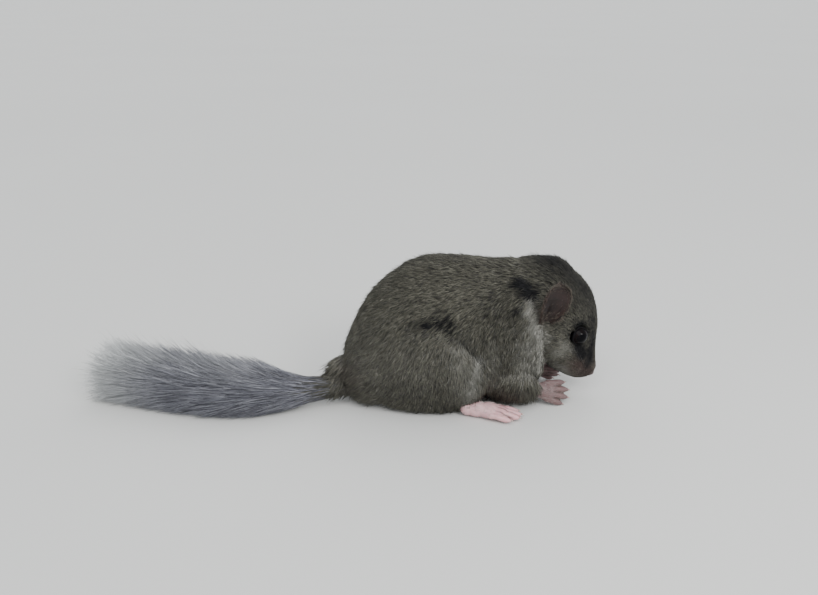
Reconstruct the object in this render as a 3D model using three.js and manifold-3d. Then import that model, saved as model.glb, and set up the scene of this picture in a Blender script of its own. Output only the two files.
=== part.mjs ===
// Life-size model of a woodland dormouse, crouched with its nose to the ground to feed.
// Millimetres, +Z up, +X towards the nose, +Y to the animal's left, and the floor at Z = 0.
// Every solid reaches out to the surface of the coat.
import * as THREE from "three";
import { mergeVertices } from "three/addons/utils/BufferGeometryUtils.js";
import Module from "manifold-3d";

const wasm = await Module();
wasm.setup();

// Driving dimensions
const BODY_LENGTH = 58; // rump to the front of the chest, crouched
const BODY_WIDTH = 32; // across the belly, without the thighs
const HEAD_LENGTH = 40; // nose tip to the end of the nape, in the head's own frame
const HEAD_SPLIT = 28.5; // where the head ends and the neck begins, back from the nose tip
const HEAD_PITCH = 58; // degrees that the nose points down
const EYE_RADIUS = 2.7;
const EAR_HEIGHT = 12.4;
const EAR_WALL = 0.7;
const HIND_FOOT = 18.5; // heel to the tip of the longest toe
const FORE_PAW = 10.4; // wrist to the tip of the longest finger
const TAIL_LENGTH = 64; // along the tail's axis, without the end hairs
const TAIL_PLUME = 11.2; // from the tail's axis to the tips of its hairs
const TAIL_CORE = 0.46; // share of the plume that is solid
const TAIL_BRUSH = 4.8; // how far the last hairs reach beyond the tail's axis
const LOCK_LENGTH = 14.5;
const LOCK_HALF_WIDTH = 2.7;
const LOCK_THICKNESS = 1.1; // at the ridge of a lock, half way along it
const RING_STEP = 7.2; // between one ring of locks and the next along the tail
const GAP = 0.3; // air between neighbouring pieces

// Places in the animal's frame
const RUMP_X = -18.6;
const NOSE_TIP = new THREE.Vector3(51.3, 0, 5.6);

const SIDES = { left: 1, right: -1 };

const FUR = { color: 0x6b675e, roughness: 0.95, metalness: 0 };
const TAIL_HAIR = { color: 0x85868a, roughness: 0.95, metalness: 0 };
const PINK_SKIN = { color: 0xc99a96, roughness: 0.6, metalness: 0 };
const EAR_SKIN = { color: 0x5d4743, roughness: 0.7, metalness: 0 };
const EYE_BLACK = { color: 0x0b0b0d, roughness: 0.12, metalness: 0 };

// Smooth curve through [position, value] pairs, without overshoot between them
function profile(...stations) {
  const xs = stations.map((p) => p[0]);
  const ys = stations.map((p) => p[1]);
  const slopes = xs.slice(1).map((x, i) => (ys[i + 1] - ys[i]) / (x - xs[i]));
  const tangents = xs.map((_, i) => {
    if (i === 0) return slopes[0];
    if (i === xs.length - 1) return slopes[i - 1];
    const [before, after] = [slopes[i - 1], slopes[i]];
    return before * after <= 0 ? 0 : (2 * before * after) / (before + after);
  });
  return (x) => {
    if (x <= xs[0]) return ys[0];
    if (x >= xs.at(-1)) return ys.at(-1);
    const i = xs.findIndex((knot) => knot > x) - 1;
    const step = xs[i + 1] - xs[i];
    const t = (x - xs[i]) / step;
    const [t2, t3] = [t * t, t * t * t];
    const start = (2 * t3 - 3 * t2 + 1) * ys[i] + (t3 - 2 * t2 + t) * step * tangents[i];
    const end = (3 * t2 - 2 * t3) * ys[i + 1] + (t3 - t2) * step * tangents[i + 1];
    return start + end;
  };
}

// The sign of a number times a power of its size, for squarer or rounder sections
const signedPower = (value, power) => Math.sign(value) * Math.abs(value) ** power;

// A closed skin: each point of a sphere, at a share of the way between its poles and a turn
// around them, goes where place(share, turn) says
function form(around, along, place) {
  const geometry = new THREE.SphereGeometry(1, around, along);
  const at = geometry.getAttribute("position");
  const columns = around + 1;
  for (let i = 0; i < at.count; i++) {
    const row = Math.floor(i / columns);
    const turn = ((i % columns) % around) * ((2 * Math.PI) / around);
    const isPole = row === 0 || row === along;
    const point = place(row / along, isPole ? 0 : turn);
    at.setXYZ(i, point.x, point.y, point.z);
  }
  return geometry;
}

// The geometry as a solid for cutting and joining
function solid(geometry, matrix = new THREE.Matrix4()) {
  const bare = new THREE.BufferGeometry();
  bare.setAttribute("position", geometry.getAttribute("position").clone());
  bare.setIndex(geometry.getIndex());
  bare.applyMatrix4(matrix);
  const welded = mergeVertices(bare, 1e-4);
  const vertProperties = new Float32Array(welded.getAttribute("position").array);
  const triVerts = new Uint32Array(welded.getIndex().array);
  const make = () => new wasm.Manifold(new wasm.Mesh({ numProp: 3, vertProperties, triVerts }));
  const made = make();
  if (made.volume() > 0) return made;
  for (let i = 0; i < triVerts.length; i += 3) {
    [triVerts[i + 1], triVerts[i + 2]] = [triVerts[i + 2], triVerts[i + 1]];
  }
  return make();
}

// The largest closed surface of a solid
const largest = (body) => body.decompose().reduce((a, b) => (a.volume() > b.volume() ? a : b));

const joined = (solids) => solids.reduce((a, b) => a.add(b));

// Numbers from 0 to 1 that look random and are the same in every run
function seededRandom(seed) {
  let state = seed;
  return () => {
    state = (state + 0x6d2b79f5) | 0;
    let mixed = Math.imul(state ^ (state >>> 15), 1 | state);
    mixed = (mixed + Math.imul(mixed ^ (mixed >>> 7), 61 | mixed)) ^ mixed;
    return ((mixed ^ (mixed >>> 14)) >>> 0) / 4294967296;
  };
}

// A named mesh of a solid
function piece(name, body, finish) {
  const mesh = largest(body).getMesh();
  const geometry = new THREE.BufferGeometry();
  geometry.setAttribute("position", new THREE.BufferAttribute(mesh.vertProperties, 3));
  geometry.setIndex(new THREE.BufferAttribute(mesh.triVerts, 1));
  geometry.computeVertexNormals();
  const made = new THREE.Mesh(geometry, new THREE.MeshStandardMaterial(finish));
  made.name = name;
  return made;
}

// A large block with one face through a point, facing against the given direction
function halfSpace(point, towards) {
  const size = 400;
  const block = new THREE.BoxGeometry(size, size, size).translate(0, 0, size / 2);
  const turn = new THREE.Quaternion().setFromUnitVectors(
    new THREE.Vector3(0, 0, 1),
    towards.clone().normalize(),
  );
  return solid(block, new THREE.Matrix4().compose(point, turn, new THREE.Vector3(1, 1, 1)));
}

const ABOVE_FLOOR = halfSpace(new THREE.Vector3(), new THREE.Vector3(0, 0, 1));

// A round-ended limb along a smooth line. Each station is [x, y, z, half width, half height]
function limb(stations, { around = 12, along = 10, grow = 0, cap = 0.16 } = {}) {
  const line = new THREE.CatmullRomCurve3(
    stations.map(([x, y, z]) => new THREE.Vector3(x, y, z)),
    false,
    "centripetal",
  );
  const last = stations.length - 1;
  const halfWidth = profile(...stations.map((s, i) => [i / last, s[3]]));
  const halfHeight = profile(...stations.map((s, i) => [i / last, s[4]]));
  const up = new THREE.Vector3(0, 0, 1);
  return form(around, along, (share, turn) => {
    const t = (1 - Math.cos(Math.PI * share)) / 2;
    const fromEnd = Math.min(t, 1 - t, cap) / cap;
    const roundEnd = Math.sqrt(Math.max(0, 1 - (1 - fromEnd) ** 2));
    const heading = line.getTangent(t);
    const side = new THREE.Vector3().crossVectors(up, heading).normalize();
    const top = new THREE.Vector3().crossVectors(heading, side);
    const point = line.getPoint(t);
    point.addScaledVector(heading, grow * (2 * t - 1));
    point.addScaledVector(side, roundEnd * (halfWidth(t) + grow) * Math.cos(turn));
    point.addScaledVector(top, roundEnd * (halfHeight(t) + grow) * Math.sin(turn));
    return point;
  });
}

// An egg-shaped solid
function egg(centre, axes, { turn = new THREE.Euler(), around = 24, along = 16, grow = 0 } = {}) {
  const size = axes.clone().addScalar(grow);
  const place = new THREE.Matrix4().compose(
    centre,
    new THREE.Quaternion().setFromEuler(turn),
    size,
  );
  return solid(new THREE.SphereGeometry(1, around, along), place);
}

// The head's own frame: the nose tip is its origin, +X runs out of the nose and +Z over the crown
const HEAD_FRAME = new THREE.Matrix4().compose(
  NOSE_TIP,
  new THREE.Quaternion().setFromEuler(
    new THREE.Euler(0, THREE.MathUtils.degToRad(HEAD_PITCH), 0),
  ),
  new THREE.Vector3(1, 1, 1),
);

// Sections of the head, by the distance back from the nose tip
const crown = profile(
  [0, 0], [0.5, 1.5], [1.5, 2.5], [3.5, 3.4], [8, 5.8], [13.5, 9.1], [18.7, 11.2],
  [22.5, 11.9], [26, 11.7], [30, 11.0], [33.5, 9.5], [36, 7.0], [38.3, 3.9], [40, 0],
);
const underside = profile(
  [0, 0], [0.5, -1.9], [1.3, -3.5], [2.6, -5.2], [5.7, -7.2], [10, -9.5], [15, -11.8],
  [20, -12.8], [26, -12.6], [32, -10.4], [37, -6], [40, 0],
);
const cheekWidth = profile(
  [0, 0], [0.5, 1.7], [1.5, 2.6], [3, 3.4], [5, 4.2], [8, 5.2], [11, 6.3], [14, 7.5], [17, 8.7],
  [20, 9.6], [24, 10.4], [28, 10.6], [32, 9.8], [36, 7.4], [38.5, 4.4], [40, 0],
);
const widestLevel = profile([0, 0], [3, -1.3], [8, -1.8], [14, -1.6], [20, -1.2], [28, 0], [40, 0]);

// Swellings and hollows of the face: centre on one side, height of the swelling, spread
const FACE_FORMS = [
  { at: new THREE.Vector3(-4.4, 3.5, -2.2), rise: 0.8, spread: 1.7 }, // whisker pad
  { at: new THREE.Vector3(-15.4, 8.0, 2.8), rise: -1.1, spread: 2.4 }, // eye socket
  { at: new THREE.Vector3(-14.2, 5.4, 7.6), rise: 0.5, spread: 2.2 }, // brow
  { at: new THREE.Vector3(-17.0, 8.6, -5.2), rise: 0.9, spread: 3.6 }, // cheek
  { at: new THREE.Vector3(-9.4, 4.6, 2.2), rise: -0.5, spread: 2.2 }, // side of the snout
  { at: new THREE.Vector3(-24.4, 9.6, 1.0), rise: -0.8, spread: 2.4 }, // ear root
];

// The head's outer skin in its own frame
function headSkin({ around = 30, along = 34, grow = 0 } = {}) {
  return form(around, along, (share, turn) => {
    const back = HEAD_LENGTH * (0.35 * share ** 2.2 + 0.65 * share ** 1.35);
    const stretch = Math.sin(Math.PI * share) > 1e-6 ? grow : 0;
    const level = widestLevel(back);
    const [across, rise] = [Math.cos(turn), Math.sin(turn)];
    const reach = rise > 0 ? crown(back) - level : level - underside(back);
    const narrowing = 1 - 0.2 * Math.max(0, rise) ** 2;
    const width = Math.max(0, cheekWidth(back)) * narrowing + stretch;
    const point = new THREE.Vector3(
      -back,
      width * signedPower(across, 0.94),
      level + (Math.max(0, reach) + stretch) * signedPower(rise, 0.94),
    );
    const outward = new THREE.Vector3(0, point.y, point.z - level);
    if (outward.length() > 0.5) {
      outward.normalize();
      for (const { at, rise: height, spread } of FACE_FORMS) {
        const mirrored = new THREE.Vector3(at.x, Math.sign(point.y || 1) * at.y, at.z);
        const near = Math.exp(-point.distanceToSquared(mirrored) / (2 * spread ** 2));
        point.addScaledVector(outward, height * near);
      }
    }
    if (share === 0) point.x += grow;
    if (share === 1) point.x -= grow;
    return point;
  });
}

// The middle of an eyeball in the head's frame
const eyeCentre = (side) => new THREE.Vector3(-15.3, side * 6.3, 2.9);
const EYE_FACING = new THREE.Vector3(0.34, 0.9, 0.26).normalize();

function eyeball(side, grow = 0) {
  return egg(eyeCentre(side), new THREE.Vector3(1, 1, 1).multiplyScalar(EYE_RADIUS), {
    around: 14,
    along: 10,
    grow,
  });
}

// The ring of lid round an eye
function lids(side) {
  const [ringRadius, wall] = [2.5, 0.62];
  const facing = EYE_FACING.clone();
  facing.y *= side;
  const ring = new THREE.TorusGeometry(ringRadius, wall, 5, 16);
  const turn = new THREE.Quaternion().setFromUnitVectors(new THREE.Vector3(0, 0, 1), facing);
  const centre = eyeCentre(side).addScaledVector(facing, 0.75);
  return solid(ring, new THREE.Matrix4().compose(centre, turn, new THREE.Vector3(1, 1, 1)));
}

// The slit of the mouth: a thin horseshoe plate that bites into the muzzle
function mouthSlit() {
  const [corner, front, halfSpan, bite, thickness] = [-7.4, -0.6, 6, 1.0, 0.55];
  const outline = new THREE.Shape();
  outline.moveTo(corner, -halfSpan);
  outline.lineTo(front, -halfSpan);
  outline.lineTo(front, halfSpan);
  outline.lineTo(corner, halfSpan);
  const steps = 10;
  for (let i = 0; i <= steps; i++) {
    const x = THREE.MathUtils.lerp(corner, -2.5 - bite, Math.sin((i / steps) * (Math.PI / 2)));
    outline.lineTo(x, Math.max(0, cheekWidth(-x) * 0.9 - bite) * (1 - (i / steps) ** 4));
  }
  for (let i = steps - 1; i >= 0; i--) {
    const x = THREE.MathUtils.lerp(corner, -2.5 - bite, Math.sin((i / steps) * (Math.PI / 2)));
    outline.lineTo(x, -Math.max(0, cheekWidth(-x) * 0.9 - bite) * (1 - (i / steps) ** 4));
  }
  outline.closePath();
  const plate = new THREE.ExtrudeGeometry(outline, { depth: thickness, bevelEnabled: false });
  return solid(plate, new THREE.Matrix4().makeTranslation(0, 0, -4.9 - thickness / 2));
}

// What the face adds to the head's skin and what it hollows out: nose pad, nostrils, lips, lids
function face() {
  const nosePad = egg(new THREE.Vector3(-0.9, 0, 0.1), new THREE.Vector3(1.2, 1.75, 1.35), {
    around: 16,
    along: 10,
  });
  const flesh = [nosePad, lids(SIDES.left), lids(SIDES.right)];
  const nostrils = Object.values(SIDES).map((side) =>
    egg(new THREE.Vector3(-0.3, side * 1.05, -0.1), new THREE.Vector3(0.95, 0.34, 0.5), {
      turn: new THREE.Euler(0, 0, side * -0.5),
      around: 8,
      along: 6,
    }),
  );
  const cleft = solid(
    new THREE.BoxGeometry(1.6, 0.36, 4.4),
    new THREE.Matrix4().makeRotationY(0.46).setPosition(-0.9, 0, -3.3),
  );
  const hollows = [
    ...nostrils,
    cleft,
    mouthSlit(),
    eyeball(SIDES.left, GAP),
    eyeball(SIDES.right, GAP),
  ];
  return { flesh: joined(flesh), hollows: joined(hollows) };
}

// A curved sheet with both faces split alike. back and front give each face's point
function sheet(across, along, back, front) {
  const points = [];
  const index = [];
  for (const face of [back, front]) {
    for (let row = 0; row <= along; row++) {
      for (let column = 0; column <= across; column++) {
        points.push(...face((2 * column) / across - 1, row / along).toArray());
      }
    }
  }
  const columns = across + 1;
  const sheetSize = columns * (along + 1);
  const quad = (a, b, c, d) => index.push(a, b, c, a, c, d);
  for (let row = 0; row < along; row++) {
    for (let column = 0; column < across; column++) {
      const a = row * columns + column;
      const [b, c, d] = [a + 1, a + 1 + columns, a + columns];
      index.push(a, b, c, a, c, d);
      index.push(a + sheetSize, c + sheetSize, b + sheetSize);
      index.push(a + sheetSize, d + sheetSize, c + sheetSize);
    }
  }
  for (let column = 0; column < across; column++) {
    const [a, b] = [column, column + 1];
    const [c, d] = [along * columns + column, along * columns + column + 1];
    quad(a, a + sheetSize, b + sheetSize, b);
    quad(d, d + sheetSize, c + sheetSize, c);
  }
  for (let row = 0; row < along; row++) {
    const [a, b] = [row * columns, (row + 1) * columns];
    const [c, d] = [a + across, b + across];
    quad(b, b + sheetSize, a + sheetSize, a);
    quad(c, c + sheetSize, d + sheetSize, d);
  }
  const geometry = new THREE.BufferGeometry();
  geometry.setAttribute("position", new THREE.Float32BufferAttribute(points, 3));
  geometry.setIndex(index);
  return geometry;
}

// How far round the ear's wall wraps, in radians each side, its half width and its cup's depth,
// by the share of the way up
const earWrap = profile([0, 2.0], [0.25, 1.75], [0.5, 1.45], [1, 1.3]);
const earHalfWidth = profile(
  [0, 2.0], [0.2, 3.0], [0.45, 4.1], [0.66, 4.3], [0.83, 3.7], [0.94, 2.4], [1, 0.9],
);
const earDepth = profile([0, 1.2], [0.2, 2.1], [0.45, 2.4], [0.7, 1.9], [1, 0.8]);

// Where each ear grows in the head's frame, and which way it stands; the left one lies further back
const EARS = {
  left: { side: SIDES.left, root: [-24.8, 9.7, -4.6], upward: [-0.76, 0.36, 0.4] },
  right: { side: SIDES.right, root: [-25.6, 9.7, -3.0], upward: [-0.66, 0.33, 0.7] },
};

// One ear in the head's frame: a rolled leaf, open outwards
function ear({ side, root, upward: [upX, upY, upZ] }) {
  const place = (inset) => (across, along) => {
    const rise = 1 - (1 - along) ** 1.35;
    const wrap = earWrap(rise);
    const forward = (1 - Math.cos(across * wrap)) / (1 - Math.cos(wrap));
    const lean = -0.6 * rise ** 2;
    return new THREE.Vector3(
      inset + (earDepth(rise) - inset) * forward + lean,
      side * (earHalfWidth(rise) - inset) * Math.sin(across * wrap),
      EAR_HEIGHT * rise,
    );
  };
  const leaf = sheet(10, 7, place(0), place(EAR_WALL));
  const upward = new THREE.Vector3(upX, side * upY, upZ).normalize();
  const facing = new THREE.Vector3(0.5, side * 0.85, 0.1);
  facing.addScaledVector(upward, -facing.dot(upward)).normalize();
  const sideways = new THREE.Vector3().crossVectors(upward, facing);
  const turn = new THREE.Matrix4().makeBasis(facing, sideways, upward);
  turn.setPosition(root[0], side * root[1], root[2]);
  return solid(leaf, turn);
}

// Sections of the body, by the place along X
const backLine = profile(
  [-18.6, 9], [-18.3, 13], [-17.4, 16.5], [-16, 20], [-13, 26.4], [-8, 33.0], [-2.5, 37.2], [3, 39.8],
  [8.5, 40.6], [14, 40.5], [19.5, 40.0], [25, 39.7], [29, 39.8], [33, 39.0], [37, 34.6], [40, 24],
);
const bellyLine = profile(
  [-18.6, 9], [-18.3, 6], [-17.4, 3.6], [-16, 1.8], [-13, 0.1], [-10, -0.6], [10, -0.6], [14, 0.9],
  [18, 1.6], [24, 1.8], [30, 2.2], [34, 4.6], [37, 9.5], [40, 24],
);
const flankShare = profile(
  [-18.6, 0], [-18.3, 0.22], [-17.4, 0.39], [-16, 0.54], [-13, 0.74], [-8, 0.9], [0, 1],
  [8, 1], [15, 0.94], [22, 0.87], [28, 0.83], [33, 0.76], [37, 0.56], [40, 0],
);
const flankLevel = profile([-18.6, 9], [-13, 12], [0, 14.5], [15, 15.5], [28, 16.5], [34, 19], [40, 24]);
const spineSway = profile([-18.6, -3.4], [-8, -1.6], [4, 0], [40, 0]);

// The body from the rump to the neck
function trunkSkin({ grow = 0 } = {}) {
  const [around, along] = [24, 22];
  return form(around, along, (share, turn) => {
    const eased = 0.72 * share + (0.28 * (1 - Math.cos(Math.PI * share))) / 2;
    const x = RUMP_X + BODY_LENGTH * eased + (share === 1 ? 0.6 : 0);
    const halfWidth = flankShare(x) * (BODY_WIDTH / 2);
    const level = flankLevel(x);
    const [across, rise] = [Math.cos(turn), Math.sin(turn)];
    const isPole = share === 0 || share === 1;
    const swell = isPole ? 0 : grow;
    const reach = rise > 0 ? backLine(x) - level : level - bellyLine(x);
    const narrowing = 1 - 0.1 * Math.max(0, rise) ** 2;
    return new THREE.Vector3(
      x + (share === 0 ? -grow : 0) + (share === 1 ? grow : 0),
      spineSway(x) + (halfWidth * narrowing + swell) * signedPower(across, rise > 0 ? 0.9 : 0.76),
      level + (reach + swell) * signedPower(rise, 0.9),
    );
  });
}

// Sections of a thigh, by the place along X: it swells from the hip to the knee
const thighTop = profile(
  [-12, 13], [-11.5, 17], [-9.5, 21.5], [-5, 26], [1, 28.4], [8, 27.6], [14, 24], [18, 18.8], [20.4, 12],
);
const thighBottom = profile(
  [-12, 13], [-11.5, 9], [-9.5, 4.4], [-6, 1], [-2, -0.3], [6, -0.3], [12, 0.8], [17, 4.4], [20.4, 12],
);
const thighOut = profile(
  [-12, 0], [-11.5, 2.4], [-9.5, 4.8], [-5, 7.0], [1, 8.6], [8, 9.4], [14, 9.0], [18, 6.6], [20.4, 0],
);

function thigh(side, grow = 0) {
  const [root, hip, knee] = [9.2, -12, 20.4];
  return solid(
    form(18, 14, (share, turn) => {
      const x = THREE.MathUtils.lerp(hip, knee, (1 - Math.cos(Math.PI * share)) / 2);
      const isPole = share === 0 || share === 1;
      const swell = isPole ? 0 : grow;
      const level = 12 + (1.5 * (knee - x)) / (knee - hip);
      const [across, rise] = [Math.cos(turn), Math.sin(turn)];
      const reach = rise > 0 ? thighTop(x) - level : level - thighBottom(x);
      const out = across > 0 ? thighOut(x) : 0.5 * thighOut(x);
      return new THREE.Vector3(
        x + (share === 0 ? -grow : 0) + (share === 1 ? grow : 0),
        side * (root + (out + swell) * across) - 0.4,
        level + (Math.max(0, reach) + swell) * rise,
      );
    }),
  );
}

// A claw: a small curved cone
function claw(tip, heading, length) {
  const [hx, hy] = [Math.cos(heading), Math.sin(heading)];
  return solid(
    limb(
      [
        [tip[0] - 0.9 * hx, tip[1] - 0.9 * hy, tip[2], 0.5, 0.5],
        [tip[0] + 0.3 * length * hx, tip[1] + 0.3 * length * hy, tip[2] + 0.15, 0.42, 0.46],
        [tip[0] + length * hx, tip[1] + length * hy, tip[2] - 0.55, 0.2, 0.22],
      ],
      { around: 4, along: 4, cap: 0.2 },
    ),
  );
}

// A toe from its root out to its claw, arched over the floor
function toe({ root, heading, length, thick }, grow) {
  const [hx, hy] = [Math.cos(heading), Math.sin(heading)];
  const at = (share, z, half) => [
    root[0] + hx * length * share,
    root[1] + hy * length * share,
    z,
    half * 0.92,
    half,
  ];
  const flesh = solid(
    limb(
      [
        at(-0.3, root[2], thick),
        at(0.3, root[2] + 0.25, thick * 0.94),
        at(0.7, thick * 1.05, thick * 0.88),
        at(1, thick * 0.8, thick * 0.95),
      ],
      { around: 6, along: 5, grow, cap: 0.14 },
    ),
  );
  if (grow > 0) return flesh;
  const end = at(0.98, thick * 1.05, thick);
  return flesh.add(claw(end.slice(0, 3), heading, 1.5));
}

// A foot in its own frame: the heel at the origin, toes along +X, and the floor at Z = 0
function foot({ body, toes, side }, grow = 0) {
  const mirror = ([x, y, z, w, h]) => [x, y * side, z, w, h];
  const sole = solid(limb(body.map(mirror), { around: 10, along: 7, grow, cap: 0.2 }));
  const digits = toes.map((one) =>
    toe({ ...one, root: mirror(one.root).slice(0, 3), heading: one.heading * side }, grow),
  );
  return joined([sole, ...digits]);
}

// Toes run from the inner one to the outer one; y is positive towards the animal's outside
const hindFootShape = (side) => ({
  side,
  body: [
    [0.4, 0, 2.4, 1.6, 2.2],
    [3.5, 0, 2.0, 2.2, 2.2],
    [8.2, 0.1, 1.9, 2.9, 2.1],
    [12.4, 0.2, 1.3, 3.1, 1.5],
  ],
  toes: [
    { root: [8.0, -2.2, 1.2], heading: -0.42, length: 3.4, thick: 0.85 },
    { root: [11.6, -1.9, 1.3], heading: -0.16, length: 4.7, thick: 0.92 },
    { root: [12.2, -0.35, 1.35], heading: -0.02, length: 5.0, thick: 0.95 },
    { root: [11.9, 1.2, 1.3], heading: 0.13, length: 4.7, thick: 0.92 },
    { root: [9.6, 2.4, 1.2], heading: 0.36, length: 4.2, thick: 0.86 },
  ],
});

const forePawShape = (side) => ({
  side,
  body: [
    [0.2, 0, 2.0, 2.0, 1.6],
    [2.2, 0, 1.8, 2.3, 1.6],
    [4.2, 0, 1.4, 2.7, 1.4],
    [5.8, 0, 1.1, 2.6, 1.1],
  ],
  toes: [
    { root: [4.6, -2.1, 1.1], heading: -0.42, length: 3.5, thick: 0.74 },
    { root: [5.2, -0.75, 1.15], heading: -0.14, length: 3.9, thick: 0.78 },
    { root: [5.2, 0.75, 1.15], heading: 0.14, length: 3.9, thick: 0.78 },
    { root: [4.6, 2.1, 1.1], heading: 0.44, length: 3.6, thick: 0.74 },
  ],
});

// Where each foot stands: its heel or wrist, how far its toes turn outwards and down, and how far
// it rolls over its outer edge. The forepaws are held up on edge, palms towards each other
const FEET = {
  hind_foot_right: {
    shape: hindFootShape, side: SIDES.right, at: [13.2, -13.9, 0], splay: 0.14, dip: 0, roll: 0,
  },
  hind_foot_left: {
    shape: hindFootShape, side: SIDES.left, at: [14.6, 13.6, 0], splay: 0.16, dip: 0, roll: 0,
  },
  forepaw_right: {
    shape: forePawShape, side: SIDES.right, at: [34.7, -6.6, 3.9], splay: -0.05, dip: 0.1, roll: 1.1,
  },
  forepaw_left: {
    shape: forePawShape, side: SIDES.left, at: [34.4, 5.4, 3.5], splay: -0.08, dip: 0.08, roll: 1.0,
  },
};

const footScale = { hind: HIND_FOOT / 18.7, fore: FORE_PAW / 10.9 };

function standingFoot(name, grow = 0) {
  const { shape, side, at, splay, dip, roll } = FEET[name];
  const size = name.startsWith("hind") ? footScale.hind : footScale.fore;
  const place = new THREE.Matrix4().compose(
    new THREE.Vector3(...at),
    new THREE.Quaternion().setFromEuler(new THREE.Euler(-side * roll, dip, side * splay, "ZYX")),
    new THREE.Vector3(size, size, size),
  );
  const made = foot(shape(side), grow / size);
  return made.transform(place.elements);
}

// The furred forearm, from the elbow under the chest to the wrist
function foreleg(side, grow = 0) {
  const [wristX, wristY, wristZ] = FEET[side > 0 ? "forepaw_left" : "forepaw_right"].at;
  return solid(
    limb(
      [
        [wristX - 16, side * 8.8, 10.2, 3.2, 5.8],
        [wristX - 10, side * 9.4, 8.6, 3.8, 5.7],
        [wristX - 4, side * 9.0, 6.8, 3.6, 4.8],
        [wristX + 1.6, wristY + side * 1.0, wristZ + 0.9, 2.5, 3.1],
      ],
      { around: 12, along: 9, grow, cap: 0.2 },
    ),
  );
}

// The tail lies on the floor and swings a little to the right
const TAIL_LINE = new THREE.CatmullRomCurve3(
  [
    [-13.0, -3.6, 6.2], [-20.0, -7.4, 5.6], [-30, -9.6, 5.1], [-41, -9.6, 4.9], [-52, -8.5, 4.9],
    [-63, -5.6, 4.9], [-73, -2.5, 4.9], [-79.5, -0.6, 5.0],
  ].map((p) => new THREE.Vector3(...p)),
);
// How far the plume reaches, as a share of its widest, by the share of the way along the tail
const tailShare = profile(
  [0, 0.58], [0.1, 0.52], [0.18, 0.57], [0.3, 0.8], [0.42, 0.97], [0.7, 1], [1, 0.98], [1.2, 0.8],
);

// The tail's axis at a distance from its root, with its heading and its level left-hand side
function tailFrame(distance) {
  const t = THREE.MathUtils.clamp(distance / TAIL_LENGTH, 0, 1);
  const heading = TAIL_LINE.getTangentAt(t);
  const beyond = Math.max(0, distance - TAIL_LENGTH);
  const centre = TAIL_LINE.getPointAt(t).addScaledVector(heading, beyond);
  const side = new THREE.Vector3(0, 0, 1).cross(heading).normalize();
  return { centre, heading, side };
}

// The solid middle of the tail, flat where it lies on the floor
function tailCore() {
  return solid(
    form(9, 11, (share, turn) => {
      const eased = 0.5 * share + (0.5 * (1 - Math.cos(Math.PI * share))) / 2;
      const { centre, side } = tailFrame(eased * TAIL_LENGTH);
      const fromEnd = Math.min(1, (1 - eased) / 0.1, eased / 0.04);
      const roundEnd = Math.sqrt(Math.max(0, 1 - (1 - fromEnd) ** 2));
      const radius = TAIL_CORE * TAIL_PLUME * tailShare(eased) * roundEnd;
      centre.addScaledVector(side, radius * Math.cos(turn));
      centre.z += radius * Math.sin(turn);
      return centre;
    }),
  );
}

// A flat tapered lock with a ridge, about a smooth path. across gives the direction that it is
// wide in, and outward the side of its ridge
function lock({ path, across, outward, halfWidth }, grow = 0) {
  const taper = profile([0, 0.3], [0.15, 0.55], [0.45, 1], [0.75, 0.72], [1, 0.04]);
  const thinning = profile([0, 1.1], [0.5, 1], [1, 0.4]);
  return solid(
    form(3, 6, (share, turn) => {
      const step = 0.02;
      const heading = path(share + step).sub(path(share - step)).normalize();
      const wide = across(share);
      wide.addScaledVector(heading, -wide.dot(heading)).normalize();
      const thin = new THREE.Vector3().crossVectors(heading, wide);
      if (thin.dot(outward(share)) < 0) thin.negate();
      const point = path(share);
      if (share === 0 || share === 1) return point.addScaledVector(heading, grow * (2 * share - 1));
      const half = (LOCK_THICKNESS / 1.5) * thinning(share) + 2 * grow;
      point.addScaledVector(wide, (1.15 * halfWidth * taper(share) + 2 * grow) * Math.sin(turn));
      return point.addScaledVector(thin, half * Math.cos(turn));
    }),
  );
}

// A lock that leaves the core steeply at an angle round the tail, and bends to lie along it.
// Those at the sides are turned like shingles, with their lower edges outermost
function risingLock({ start, angle, length, reach, halfWidth }) {
  const inner = 0.5 * TAIL_CORE * TAIL_PLUME * tailShare(start / TAIL_LENGTH);
  const spoke = (distance, turn) => {
    const { side } = tailFrame(distance);
    return side.multiplyScalar(Math.cos(turn)).add(new THREE.Vector3(0, 0, Math.sin(turn)));
  };
  return {
    start,
    halfWidth,
    path: (u) => {
      const distance = start + length * u;
      const radius = inner + (reach - inner) * (1 - Math.max(0, 1 - u) ** 1.6);
      return tailFrame(distance).centre.addScaledVector(spoke(distance, angle), radius);
    },
    across: (u) => spoke(start + length * u, angle + Math.PI / 2 + 0.6 * Math.cos(angle)),
    outward: (u) => spoke(start + length * u, angle),
  };
}

// A lock that lies out sideways on the floor
function floorLock({ start, side, length, reach, halfWidth }) {
  return {
    start,
    halfWidth,
    path: (u) => {
      const frame = tailFrame(start + length * u);
      const out = 2.2 + (reach - 2.2) * (1 - Math.max(0, 1 - u) ** 1.6);
      const point = frame.centre.addScaledVector(frame.side, side * out);
      point.z = THREE.MathUtils.lerp(2.4, 0.7, Math.min(1, u * 1.5));
      return point;
    },
    across: (u) => {
      const { heading, side: level } = tailFrame(start + length * u);
      return level.multiplyScalar(-side).add(heading);
    },
    outward: () => new THREE.Vector3(0, 0, 1),
  };
}

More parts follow.
